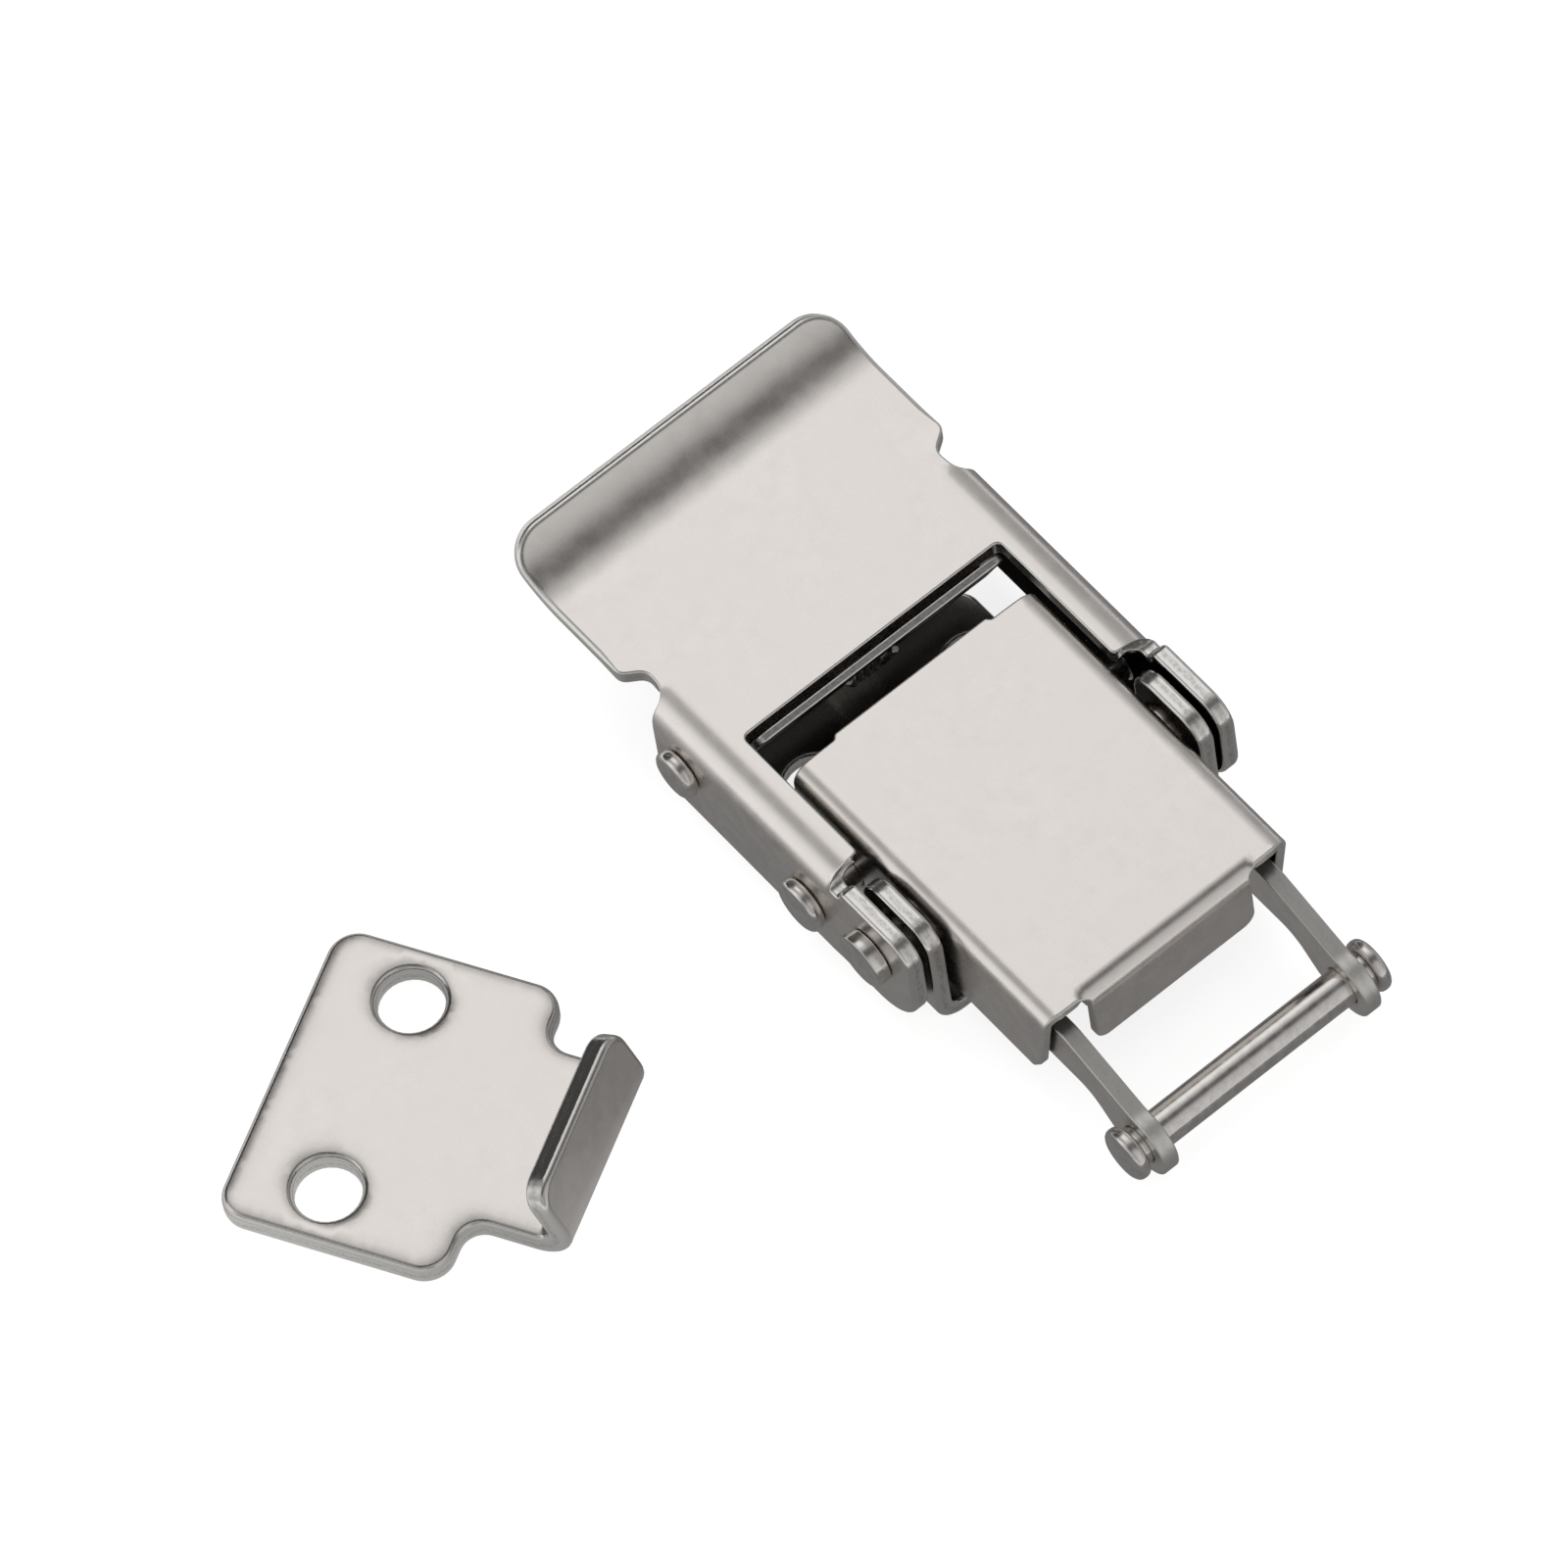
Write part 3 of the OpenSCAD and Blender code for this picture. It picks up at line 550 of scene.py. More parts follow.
def bump(tree, height, distance, strength, below=None):
    """Bump of the given depth in metres, over another bump if there is one."""
    made = tree.nodes.new("ShaderNodeBump")
    made.inputs["Strength"].default_value = strength
    made.inputs["Distance"].default_value = distance
    link(tree, height, made.inputs["Height"])
    if below is not None:
        link(tree, below, made.inputs["Normal"])
    return made.outputs["Normal"]


def metal(name):
    """A new metal material: its tree, its shader and the object coordinates."""
    material = bpy.data.materials.new(name)
    material.use_nodes = True
    tree = material.node_tree
    shader = tree.nodes["Principled BSDF"]
    shader.inputs["Metallic"].default_value = 1.0
    place = tree.nodes.new("ShaderNodeTexCoord").outputs["Object"]
    return material, tree, shader, place


def combine(tree, operation, a, b):
    """Two values put together by a math node's operation."""
    made = tree.nodes.new("ShaderNodeMath")
    made.operation = operation
    link(tree, a, made.inputs[0])
    link(tree, b, made.inputs[1])
    return made.outputs[0]


def parts_of(tree, vector):
    """The three parts of a vector socket, by the names X, Y and Z."""
    split = tree.nodes.new("ShaderNodeSeparateXYZ")
    link(tree, vector, split.inputs["Vector"])
    return split.outputs


def flat_place(tree):
    """The flat place (u, v, w) that a folded sheet's mesh keeps, as X, Y and Z."""
    flat = tree.nodes.new("ShaderNodeAttribute")
    flat.attribute_name = "flat"
    return parts_of(tree, flat.outputs["Vector"])


def shade(colour, factor):
    """A colour made darker or lighter by a factor."""
    return tuple(min(1.0, c * factor) for c in colour)


def tumbled_steel(name, colour, roughness, inner=None):
    """Tumbled stainless sheet: soft mottle in colour and gloss, and a fine grain. With inner, one face of a
    channel gets painted shade: its colour and its reflection are darkened to stand in for the shade inside
    the channel. inner is the sign of that face's height w and the share of the light that it keeps."""
    material, tree, shader, place = metal(name)
    mottle = noise(tree, place, 700.0, 4.0, 0.6)
    cloud = noise(tree, place, 160.0, 2.0)
    grain = noise(tree, place, 5200.0, 1.0, 0.6)
    tone = blend(tree, ramp(tree, mottle, 0.35, 0.65, 0.0, 1.0), shade(colour, 0.93), shade(colour, 1.05))
    tone = blend(tree, ramp(tree, cloud, 0.4, 0.62, 0.0, 0.35), tone, shade(colour, 1.08))
    # painted shade: the face whose w has inner's sign keeps only share of the colour and of the specular
    # tint
    if inner is not None:
        sign, share = inner
        painted_inner_shade = ramp(tree, flat_place(tree)["Z"], 0.0, 0.1 * sign, 0.0, 1.0)
        tone = blend(tree, painted_inner_shade, tone, shade(colour, share))
        link(tree, blend(tree, painted_inner_shade, (1.0, 1.0, 1.0), (share,) * 3), shader.inputs["Specular Tint"])
    link(tree, tone, shader.inputs["Base Color"])
    gloss = combine(tree, "ADD", ramp(tree, mottle, 0.3, 0.7, -0.03, 0.04),
                    ramp(tree, cloud, 0.3, 0.7, roughness - 0.015, roughness + 0.02))
    link(tree, gloss, shader.inputs["Roughness"])
    fine = bump(tree, grain, 0.00001, 0.2)
    link(tree, bump(tree, mottle, 0.00002, 0.06, fine), shader.inputs["Normal"])
    return material


def sheared_steel(name, colour, roughness, torn, polished=-1e3):
    """Sheared edge: bright rims, and between them a rougher torn band with dark specks along the sheet's
    middle, set by the height w that its mesh keeps; torn is the strength of the specks. Behind u = polished
    the whole edge is smooth."""
    material, tree, shader, place = metal(name)
    flat = flat_place(tree)
    waver = noise(tree, place, 900.0, 3.0)
    height = combine(tree, "ADD", flat["Z"], ramp(tree, waver, 0.3, 0.7, -0.1, 0.1))
    away = tree.nodes.new("ShaderNodeMath")
    away.operation = "ABSOLUTE"
    link(tree, height, away.inputs[0])
    band = ramp(tree, away.outputs[0], 0.1, 0.26, torn, 0.0)
    band = combine(tree, "MULTIPLY", band, ramp(tree, flat["X"], polished, polished + 3.0, 0.0, 1.0))
    speck = noise(tree, place, 3600.0, 2.0, 0.8)
    spots = combine(tree, "MULTIPLY", band, ramp(tree, speck, 0.42, 0.6, 0.15, 1.0))
    link(tree, blend(tree, spots, colour, shade(colour, 0.22)), shader.inputs["Base Color"])
    link(tree, ramp(tree, band, 0.0, 1.0, roughness, roughness + 0.2), shader.inputs["Roughness"])
    link(tree, bump(tree, speck, 0.00003, 0.35), shader.inputs["Normal"])
    return material


def turned_steel(name, colour, roughness):
    """Turned and tumbled pin: faint rings round its axis along Y, with small marks."""
    material, tree, shader, place = metal(name)
    rings = noise(tree, place, 900.0, 2.0, 0.5, (0.15, 6.0, 0.15))
    marks = noise(tree, place, 1500.0, 3.0, 0.6)
    tone = blend(tree, ramp(tree, marks, 0.35, 0.65, 0.0, 1.0), shade(colour, 0.88), shade(colour, 1.06))
    link(tree, tone, shader.inputs["Base Color"])
    link(tree, ramp(tree, marks, 0.3, 0.7, roughness - 0.05, roughness + 0.07), shader.inputs["Roughness"])
    link(tree, bump(tree, rings, 0.00001, 0.25, bump(tree, marks, 0.00001, 0.3)), shader.inputs["Normal"])
    return material


def finish_material(kind):
    """The shared material of a kind of finish, made once."""
    key = f"latch_{kind}"
    if key not in bpy.data.materials:
        looks = bpy.context.scene.latch_finish
        sheet, cut, pin = tuple(looks.sheet_colour), tuple(looks.cut_colour), tuple(looks.pin_colour)
        gloss, pin_gloss = looks.sheet_gloss, looks.pin_gloss
        maker, *values = {
            "tumbled_sheet": (tumbled_steel, sheet, gloss),
            # painted shade on one face: channel_sheet darkens the faces with w below 0 to 0.15, base_sheet
            # those with w above 0 to 0.35
            "channel_sheet": (tumbled_steel, sheet, gloss, (-1, 0.15)),
            "base_sheet": (tumbled_steel, sheet, gloss, (1, 0.35)),
            "sheared_edge": (sheared_steel, cut, gloss - 0.07, 0.38, TAB_FRONT),
            "fine_edge": (sheared_steel, cut, gloss + 0.16, 0.12),
            "rolled_edge": (sheared_steel, shade(cut, 0.85), gloss - 0.09, 0.3),
            "turned_pin": (turned_steel, pin, pin_gloss),
            "spring_wire": (turned_steel, shade(pin, 0.85), pin_gloss + 0.04),
        }[kind]
        maker(key, *values)
    return bpy.data.materials[key]


def dress(piece, node, body, slot, *kinds):
    """Gives a piece its finishes, and puts it in the place of its CAD node on that node's body; a piece
    given no body rides on none."""
    for kind in kinds:
        piece.data.materials.append(finish_material(kind))
    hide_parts(node)
    if body is not None:
        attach(piece, body)


def lever_fold(u, v, w):
    """Lever: the sides bend down along the flanges, the tab curls up behind CURL_X, and each ear stays in
    its flange's plane. Where the sheet stretches, the bent and the unbent place are mixed: over 0.7 mm at
    the ears, over 1 mm at the tab, and over 0.4 mm where the flange runs out."""
    side, s = np.sign(v), np.abs(v)
    mid, start, outer = LEVER_TOP - LEVER_T / 2, FLANGE_OUT - LEVER_BEND, CURL_R + LEVER_T / 2
    y, drop = bend(s, w, start, LEVER_BEND - LEVER_T / 2, math.pi / 2)
    z = mid - drop
    ear_z = LEVER_TOP - LEVER_BEND - s + bend_end(FLANGE_OUT, LEVER_BEND, LEVER_T)
    t = ease((u - RAIL_FRONT + 0.25) / 0.7) * (s > start - 0.3)
    y, z = y + (FLANGE_OUT - LEVER_T / 2 + w - y) * t, z + (ear_z - z) * t
    on_flange = np.clip((s - TAB_SIDE) / 0.4, 0, 1) * (u > FLANGE_REAR - 1.0)
    t = ease(np.maximum(u - FLANGE_REAR + 0.8, on_flange))
    y, z = s + (y - s) * t, mid + w + (z - mid - w) * t
    turn = np.clip((CURL_X - u) / outer, 0, None)
    x = np.where(u < CURL_X, CURL_X - (outer - w) * np.sin(turn), u)
    z = np.where(u < CURL_X, LEVER_TOP + CURL_R - (outer - w) * np.cos(turn), z)
    return x, side * y, z


def make_lever():
    """Lever: a window between two rails, flanges with ears, and the curled thumb tab."""
    step = size("mesh_step")
    flange_start = bend_end(FLANGE_OUT, LEVER_BEND, LEVER_T)

    def flat_v(z):
        return flange_start + LEVER_TOP - LEVER_BEND - z

    front, low, ear_top, relief = LEVER_HIGH[0], LEVER_LOW[2], BASE_HIGH[2], RAIL_FRONT + 1.4
    tab_end = CURL_X - (CURL_R + LEVER_T / 2) * CURL_TURN
    half = [(WINDOW_X, EAR_IN, 0.4), (RAIL_FRONT, EAR_IN, 0.5), (RAIL_FRONT + 0.1, flat_v(RELIEF_Z), 0.6),
            (relief, flat_v(RELIEF_Z), 0.5), (relief, flat_v(ear_top), 0.5), (front, flat_v(ear_top), 2.0),
            (front, flat_v(low), 4.0), (FLANGE_REAR, flat_v(low), 0.8), (FLANGE_REAR, flat_v(7.0), 0.8),
            (FLANGE_REAR + 0.15, FLANGE_OUT - 1.3, 0.55), (TAB_FRONT + 1.0, FLANGE_OUT - 1.45, 0.9),
            (TAB_FRONT, FLANGE_OUT, 0.9), (tab_end, FLANGE_OUT, 2.6)]
    loops = [outline(mirrored(half), step * RIM_STEP)]
    for (x, z), diameter in ((PIVOT, RIVET_D + 2 * RUN_GAP), (DRAW, PIN_D), (REAR, PIN_D)):
        loops += hole_pair(x, flat_v(z), diameter, step)
    thin, blunt = size("edge_round"), size("ear_round")

    def edge(loop):
        ears = np.clip(loop[:, 0] - RAIL_FRONT + 0.2, 0, 1)
        tab = np.clip((TAB_FRONT - loop[:, 0]) / 2, 0, 1)
        return thin + np.maximum((blunt - thin) * ears, (TAB_ROUND - thin) * tab)

    piece = folded_sheet("lever_sheet", loops, lever_fold, LEVER_T, edge, step)
    dress(piece, "lever", "lever", "sheet", "channel_sheet", "sheared_edge")


def base_fold(u, v, w):
    """Base: a floor whose sides bend up into the ears; w is on the upper face, the inside of the bends."""
    side, s = np.sign(v), np.abs(v)
    start = np.where(u < EAR_REAR - 1e-6, 1e3, EAR_OUT - BASE_BEND)
    along, drop = bend(s, -w, start, BASE_BEND - BASE_T / 2, math.pi / 2)
    return u, side * along, BASE_T / 2 + drop


def make_base():
    """Base: the floor with its tongue and four screw holes, and the two ears."""
    step = size("mesh_step")
    start, ear_start = EAR_OUT - BASE_BEND, bend_end(EAR_OUT, BASE_BEND, BASE_T)

    def flat_v(z):
        return ear_start + z - BASE_BEND

    front, rear, top = BASE_HIGH[0], BASE_LOW[0], BASE_HIGH[2]
    half = [(rear, start, 1.5), (EAR_REAR - 0.05, start, 0.3), (EAR_REAR, start + 0.3, 0.25),
            (EAR_REAR, flat_v(top), 2.0), (front, flat_v(top), 2.0)]
    loops = [outline(mirrored(half), step * RIM_STEP)]
    for x in (-BASE_PITCH / 2, BASE_PITCH / 2):
        loops += hole_pair(x, BASE_PITCH / 2, SCREW_D, step)
    loops += hole_pair(PIVOT[0], flat_v(PIVOT[1]), RIVET_D, step)
    piece = folded_sheet("base_sheet", loops, base_fold, BASE_T, size("ear_round"), step)
    dress(piece, "base", "mounting", "sheet", "base_sheet", "sheared_edge")


def case_fold(u, v, w):
    """Case: the sides bend down, and in front of the mouth the narrow tab bends down on its own line. The
    top sinks a little towards the bends, as pressing leaves it, by an exponential of the distance to each
    bend: by 0.13 mm at the mouth's corners and by 0.07 mm along the sides."""
    side, s = np.sign(v), np.abs(v)
    radius = CASE_BEND - CASE_T / 2
    along, drop = bend(s, w, CASE_OUT - CASE_BEND, radius, math.pi / 2)
    front, fall = bend(u, w, CASE_MOUTH, radius, math.pi / 2)
    t = ease((s - FRONT_HALF - 0.05) / 0.9)
    mid = CASE_HIGH[2] - CASE_T / 2
    mid = mid - 0.13 * np.exp(-np.maximum(CASE_MOUTH - u, 0)) * np.exp(-np.maximum(s - CASE_OUT + 2, 0))
    mid = mid - 0.07 * np.exp(-np.maximum(CASE_OUT - CASE_BEND - s, 0) / 0.8)
    return front + (u - front) * t, side * (s + (along - s) * t), mid - fall - (drop - fall) * t


def make_case():
    """Case: top, side walls with slanted front edges, and the tab between the arms."""
    step = size("mesh_step")
    wall_start = bend_end(CASE_OUT, CASE_BEND, CASE_T)

    def flat_v(z):
        return wall_start + CASE_HIGH[2] - CASE_BEND - z

    rear, low, top = CASE_LOW[0], CASE_LOW[2], CASE_HIGH[2]
    tab_end = bend_end(CASE_HIGH[0], CASE_BEND, CASE_T) + top - CASE_BEND - CASE_TAB_LOW
    half = [(rear, 6.1, 0.25), (rear + 0.3, 6.4, 0.25), (rear + 0.3, flat_v(top - 2.8), 0.6),
            (rear + 3, flat_v(low), 2.0), (CASE_MOUTH - 1, flat_v(low), 0.4),
            (CASE_MOUTH - 0.3, flat_v(low + 1), 0.5), (CASE_MOUTH + 0.6, wall_start, 0.8),
            (CASE_MOUTH + 0.9, CASE_OUT - CASE_BEND, 0.8), (CASE_MOUTH + 0.9, FRONT_HALF, 0.3),
            (tab_end, FRONT_HALF, 1.0)]
    loops = [outline(mirrored(half), step * RIM_STEP)]
    loops += hole_pair(DRAW[0], flat_v(DRAW[1]), PIN_D + 2 * RUN_GAP, step)
    edge = min(0.18, size("edge_round"))
    piece = folded_sheet("case_sheet", loops, case_fold, CASE_T, edge, step)
    dress(piece, "case", "case", "sheet", "channel_sheet", "fine_edge")


def bracket_fold(u, v, w):
    """Draw bracket: u is the length along the strip in plan, 0 in the middle of the cross plate, and v the
    height; each end turns forward into an arm, w on its outside."""
    side, s = np.sign(u), np.abs(u)
    along, drop = bend(s, w, ARM_OUT - CROSS_BEND, CROSS_BEND - ARM_T / 2, math.pi / 2)
    return CROSS_REAR + ARM_T / 2 + drop, side * along, v


def make_bracket():
    """Draw bracket: cross plate and two arms that end in rings."""
    step = size("mesh_step")
    arm_start = bend_end(ARM_OUT, CROSS_BEND, ARM_T)

    def flat_u(x):
        return arm_start + x - CROSS_REAR - CROSS_BEND

    ring, low, high, top = 2.4, 3.6, 7.6, BRACKET_HIGH[2]
    shoulder = CROSS_REAR + CROSS_BEND + 1
    x, z = HOOK
    half = [(flat_u(shoulder), top, 0.4), (flat_u(shoulder + 1.5), high, 0.8), (flat_u(x - 6.8), high, 3.0),
            (flat_u(x - 0.4), z + ring, 2.4), (flat_u(x + ring), z + ring, ring - 0.02),
            (flat_u(x + ring), z - ring, ring - 0.02), (flat_u(x - 0.4), z - ring, 0.8),
            (flat_u(x - 2.4), z - 1.5, 0.9), (flat_u(x - 4.6), low, 3.0)]
    loops = [outline(half + [(-u, v, r) for u, v, r in reversed(half)], step * RIM_STEP)]
    loops += [hole(side * flat_u(x), z, HOOK_D + 2 * RUN_GAP, step) for side in (-1, 1)]
    tail = SPRING_D - 2 * SPRING_WIRE - 1.0
    loops += [hole(side * SPRING_Y, top - SPRING_D / 2, tail, step) for side in (-1, 1)]
    piece = folded_sheet("draw_bracket_sheet", loops, bracket_fold, ARM_T, size("edge_round"), step)
    dress(piece, "draw_bracket", "draw", "sheet", "tumbled_sheet", "fine_edge")


def keeper_fold(u, v, w):
    """Keeper: the tongue bends up and back over the plate by 110 degrees, w on the upper face; then the
    whole plate is turned about Z and moved to its hole centre."""
    along, drop = bend(u, -w, LIP_FWD - LIP_BEND, LIP_BEND - KEEPER_T / 2, math.pi / 2 + LIP_LEAN)
    c, s = math.cos(KEEPER_TURN), math.sin(KEEPER_TURN)
    return KEEPER_AT[0] + along * c - v * s, KEEPER_AT[1] + along * s + v * c, KEEPER_T / 2 + drop


def make_keeper():
    """Keeper: plate with two screw holes, tongue and lip."""
    step = size("mesh_step")
    lip_end = LIP_FWD - LIP_BEND + (LIP_BEND - KEEPER_T / 2) * (math.pi / 2 + LIP_LEAN) + LIP_L
    rear, front, half, left, right = -6.3, 9.1, 10.7, 6.7, -6.3
    corners = [(rear, half, 2.0), (front, half, 2.0), (front, left, 1.5), (lip_end, left, 1.8),
               (lip_end, right, 1.8), (front, right, 1.5), (front, -half, 2.0), (rear, -half, 2.0)]
    loops = [outline(corners, step * RIM_STEP), *hole_pair(0, KEEPER_PITCH / 2, SCREW_D, step)]
    piece = folded_sheet("keeper_sheet", loops, keeper_fold, KEEPER_T, size("keeper_round"), step,
                         roll=(0.3, 0.6))
    dress(piece, "keeper", "mounting", "sheet", "tumbled_sheet", "rolled_edge")


def catch_fold(u, v, w):
    """Catch plate: for u over 0 a flat plate that rises at the lean, for u under 0 an arc round the rear
    pin; its top is cut level, so it is sheared by w there."""
    u = np.where(u > 0, u + w / math.tan(CATCH_LEAN) * np.clip(u / CATCH_PLATE, 0, 1), u)
    angle = CATCH_LEAN - math.pi / 2 - np.clip(-u / EYE_MID, 0, None)
    r, rise = EYE_MID + w, np.maximum(u, 0)
    return (REAR[0] + r * np.cos(angle) + rise * math.cos(CATCH_LEAN), v,
            REAR[1] + r * np.sin(angle) + rise * math.sin(CATCH_LEAN))


def make_catch():
    """Catch plate, rolled round the rear pin on both sides of its spring."""
    half_w, room, eye_end = node_box("catch_plate")[1][1], COIL_L / 2 + CATCH_WIRE, -math.pi * EYE_MID
    gap_end = math.sqrt((COIL_R + CATCH_WIRE) ** 2 - EYE_MID ** 2)
    half = [(CATCH_PLATE, half_w, 1.0), (eye_end, half_w, 0.3), (eye_end, room, 0.3), (gap_end, room, 0.6)]
    step = min(0.3, size("mesh_step"))
    loops = [outline(mirrored(half), step)]
    piece = folded_sheet("catch_plate_sheet", loops, catch_fold, CATCH_T, 0.14, step)
    dress(piece, "catch_plate", "catch", "spring_steel", "base_sheet", "sheared_edge")


def headed_profile(shaft, half, head, far_t):
    """Profile of a pin whose shaft is 2 half long, with a head outside each end; the far one is far_t thick,
    and where it is thin its edge is a slope."""
    near = [(head / 2, -half - HEAD_T, True), (head / 2, -half, True), (shaft / 2, -half, False),
            (shaft / 2, half, False)]
    if far_t < 0.5:
        return near + [(head / 2, half, False), (head / 2 - 0.5, half + far_t, False)]
    return near + [(head / 2, half, True), (head / 2, half + far_t, True)]


def make_pins():
    """Draw pin, rear pin, front pin and the two pivot rivets, all turned about axes along Y."""
    edge, steps = size("head_round"), bpy.context.scene.latch_sheet.turn_steps
    for name, shaft, body, far_t in (("draw_pin", PIN_D, "lever", 0.3), ("rear_pin", PIN_D, "lever", 0.2),
                                     ("front_pin", HOOK_D, "front_pin", HEAD_T)):
        low, high = node_box(name)
        profile = profile_rows(headed_profile(shaft, high[1] - HEAD_T, high[0] - low[0], far_t), edge)
        dress(turned(name + "_turned", profile, axis_of(name), 1, steps), name, body, "pins", "turned_pin")
    head = RIVET_HIGH[0] - RIVET_LOW[0]
    start, seat = RIVET_LOW[1], RIVET_HIGH[1] - HEAD_T
    for name, side, out in (("pivot_rivet_near", -1, HEAD_T), ("pivot_rivet_far", 1, 0.5)):
        rivet = [(head / 2, start, True), (head / 2, EAR_IN, False), (RIVET_D / 2, EAR_IN, False),
                 (RIVET_D / 2, seat, False), (head / 2, seat, True), (head / 2, seat + out, True)]
        piece = turned(name + "_turned", profile_rows(rivet, min(edge, 0.14)), PIVOT, side, steps)
        dress(piece, name, "mounting", "pins", "turned_pin")


def make_draw_springs():
    """Two coils in the case and their guides."""
    cross_front, tab_inner = CROSS_REAR + ARM_T, CASE_HIGH[0] - CASE_T
    z = BRACKET_HIGH[2] - SPRING_D / 2
    coil, guide = (SPRING_D - SPRING_WIRE) / 2, (SPRING_D - 2 * SPRING_WIRE - 0.4) / 2
    t = np.linspace(0, 1, COIL_STEPS * SPRING_TURNS)
    angle = 2 * np.pi * SPRING_TURNS * t
    x = cross_front + SPRING_WIRE / 2 + (tab_inner - cross_front - SPRING_WIRE) * t
    for label, y in (("near", -SPRING_Y), ("far", SPRING_Y)):
        path = np.stack([x, y + coil * np.cos(angle), z + coil * np.sin(angle)], 1)
        piece = wire(f"draw_spring_{label}_wire", path, SPRING_WIRE, (1, 0, 0))
        dress(piece, f"draw_spring_{label}", "case", "spring_steel", "spring_wire")
        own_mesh(piece)
        low, high = node_box(f"spring_guide_{label}")
        stem = outline([(0.0, low[0], 0), (guide - 0.3, low[0], 0), (guide - 0.3, cross_front, 0),
                        (guide, cross_front, 0), (guide, high[0], 0.4), (0.0, high[0], 0)], 10.0)
        piece = turned(f"spring_guide_{label}_turned", stem, (0.0, 0.0), 1, 48)
        turn_to_x(piece, y, z)
        dress(piece, f"spring_guide_{label}", "draw", "pins", "turned_pin")


def make_catch_spring():
    """Coil round the rear pin: one leg up the catch plate, the other back against the lever's top. It winds
    up between the lever and the catch plate."""
    leave = math.radians(210)
    turn = 2 * math.pi * CATCH_TURNS + (CATCH_LEAN - math.pi / 2) - (leave - 2 * math.pi)
    t = np.linspace(0, 1, COIL_STEPS * CATCH_TURNS)
    angle = CATCH_LEAN - math.pi / 2 - turn * t
    path = np.stack([REAR[0] + COIL_R * np.cos(angle), COIL_L * (0.5 - t),
                     REAR[1] + COIL_R * np.sin(angle)], 1)
    up = np.array([math.cos(CATCH_LEAN), 0, math.sin(CATCH_LEAN)])
    back = np.array([math.sin(leave), 0, -math.cos(leave)])
    reach = (LEVER_TOP - LEVER_T - CATCH_WIRE / 2 - path[-1, 2]) / back[2]
    path = np.concatenate([[path[0] + 4 * up], path, [path[-1] + reach * back]])
    piece = wire("catch_spring_wire", path, CATCH_WIRE, (0, 1, 0))
    dress(piece, "catch_spring", None, "spring_steel", "spring_wire")
    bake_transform(piece)


def make_springs():
    """The draw springs with their guides, and the catch spring."""
    make_draw_springs()
    make_catch_spring()


def turn_to_x(piece, y, z):
    """Turns a piece that was made about the Y axis so that its axis lies along X at (y, z)."""
    turn = Matrix(((0, 1, 0, 0), (-1, 0, 0, y * MM), (0, 0, 1, z * MM), (0, 0, 0, 1)))
    piece.data.transform(turn)


def seen(tree):
    """1 for camera, glossy and transmission rays, and 0 for the rays that only carry light."""
    rays = tree.nodes.new("ShaderNodeLightPath").outputs
    total = combine(tree, "MAXIMUM", rays["Is Camera Ray"], rays["Is Glossy Ray"])
    return combine(tree, "MAXIMUM", total, rays["Is Transmission Ray"])


def disc(name, radius, height, sides=96):
    """Flat disc: a fan of triangles from a circle to its centre, facing up, at a height in millimetres."""
    t = np.linspace(0, 2 * np.pi, sides, endpoint=False)
    points = np.stack([radius * np.cos(t), radius * np.sin(t), np.full(sides, height)], 1)
    return write_mesh(name, np.concatenate([points, [[0, 0, height]]]), [fan(0, sides, sides)])


def make_floor():
    """Pale floor: a large disc under the mounting plane; its glow lifts the soft shadow towards white."""
    settings = bpy.context.scene.latch_stage
    floor = disc("pale_floor", 1800.0, -0.03)
    material = bpy.data.materials.new("latch_pale_floor")
    material.use_nodes = True
    tree = material.node_tree
    shader = tree.nodes["Principled BSDF"]
    shader.inputs["Base Color"].default_value = (*settings.floor_colour, 1.0)
    shader.inputs["Roughness"].default_value = 0.9
    shader.inputs["Specular IOR Level"].default_value = 0.0
    glow = tree.nodes.new("ShaderNodeEmission")
    link(tree, ramp(tree, seen(tree), 0.0, 1.0, 0.0, settings.floor_glow), glow.inputs["Strength"])
    both = tree.nodes.new("ShaderNodeAddShader")
    link(tree, shader.outputs["BSDF"], both.inputs[0])
    link(tree, glow.outputs["Emission"], both.inputs[1])
    link(tree, both.outputs["Shader"], tree.nodes["Material Output"].inputs["Surface"])
    floor.data.materials.append(material)


def make_world():
    """White studio: at full strength where it is seen, also in metal, and softer where it only lights."""
    settings = bpy.context.scene.latch_stage
    world = bpy.data.worlds.new("latch_studio")
    world.use_nodes = True
    tree = world.node_tree
    back = tree.nodes["Background"]
    link(tree, ramp(tree, seen(tree), 0.0, 1.0, settings.world_light, 1.0), back.inputs["Strength"])
    back.inputs["Color"].default_value = (1.0, 1.0, 1.0, 1.0)
    bpy.context.scene.world = world


def steps_ramp(tree, value, stops):
    """Curve through (place, height) stops between -1 and 1, straight from stop to stop."""
    made = tree.nodes.new("ShaderNodeValToRGB")
    items = made.color_ramp.elements
    while len(items) < len(stops):
        items.new(0.5)
    for item, (place, height) in zip(items, stops):
        item.position = (place + 1) / 2
        item.color = (height, height, height, 1.0)
    link(tree, ramp(tree, value, -1.0, 1.0, 0.0, 1.0), made.inputs["Fac"])
    return made.outputs["Color"]


def card_material(name):
    """A card that gives off light: its material, its tree, its strength socket and its coordinates."""
    material = bpy.data.materials.new(name)
    material.use_nodes = True
    tree = material.node_tree
    tree.nodes.remove(tree.nodes["Principled BSDF"])
    glow = tree.nodes.new("ShaderNodeEmission")
    link(tree, glow.outputs["Emission"], tree.nodes["Material Output"].inputs["Surface"])
    return material, tree, glow.inputs["Strength"], tree.nodes.new("ShaderNodeTexCoord").outputs["Object"]


def hang(card):
    """Puts a card on the stage where only metal sees it: it throws no shadow and adds no light."""
    card.visible_camera = card.visible_diffuse = card.visible_shadow = False


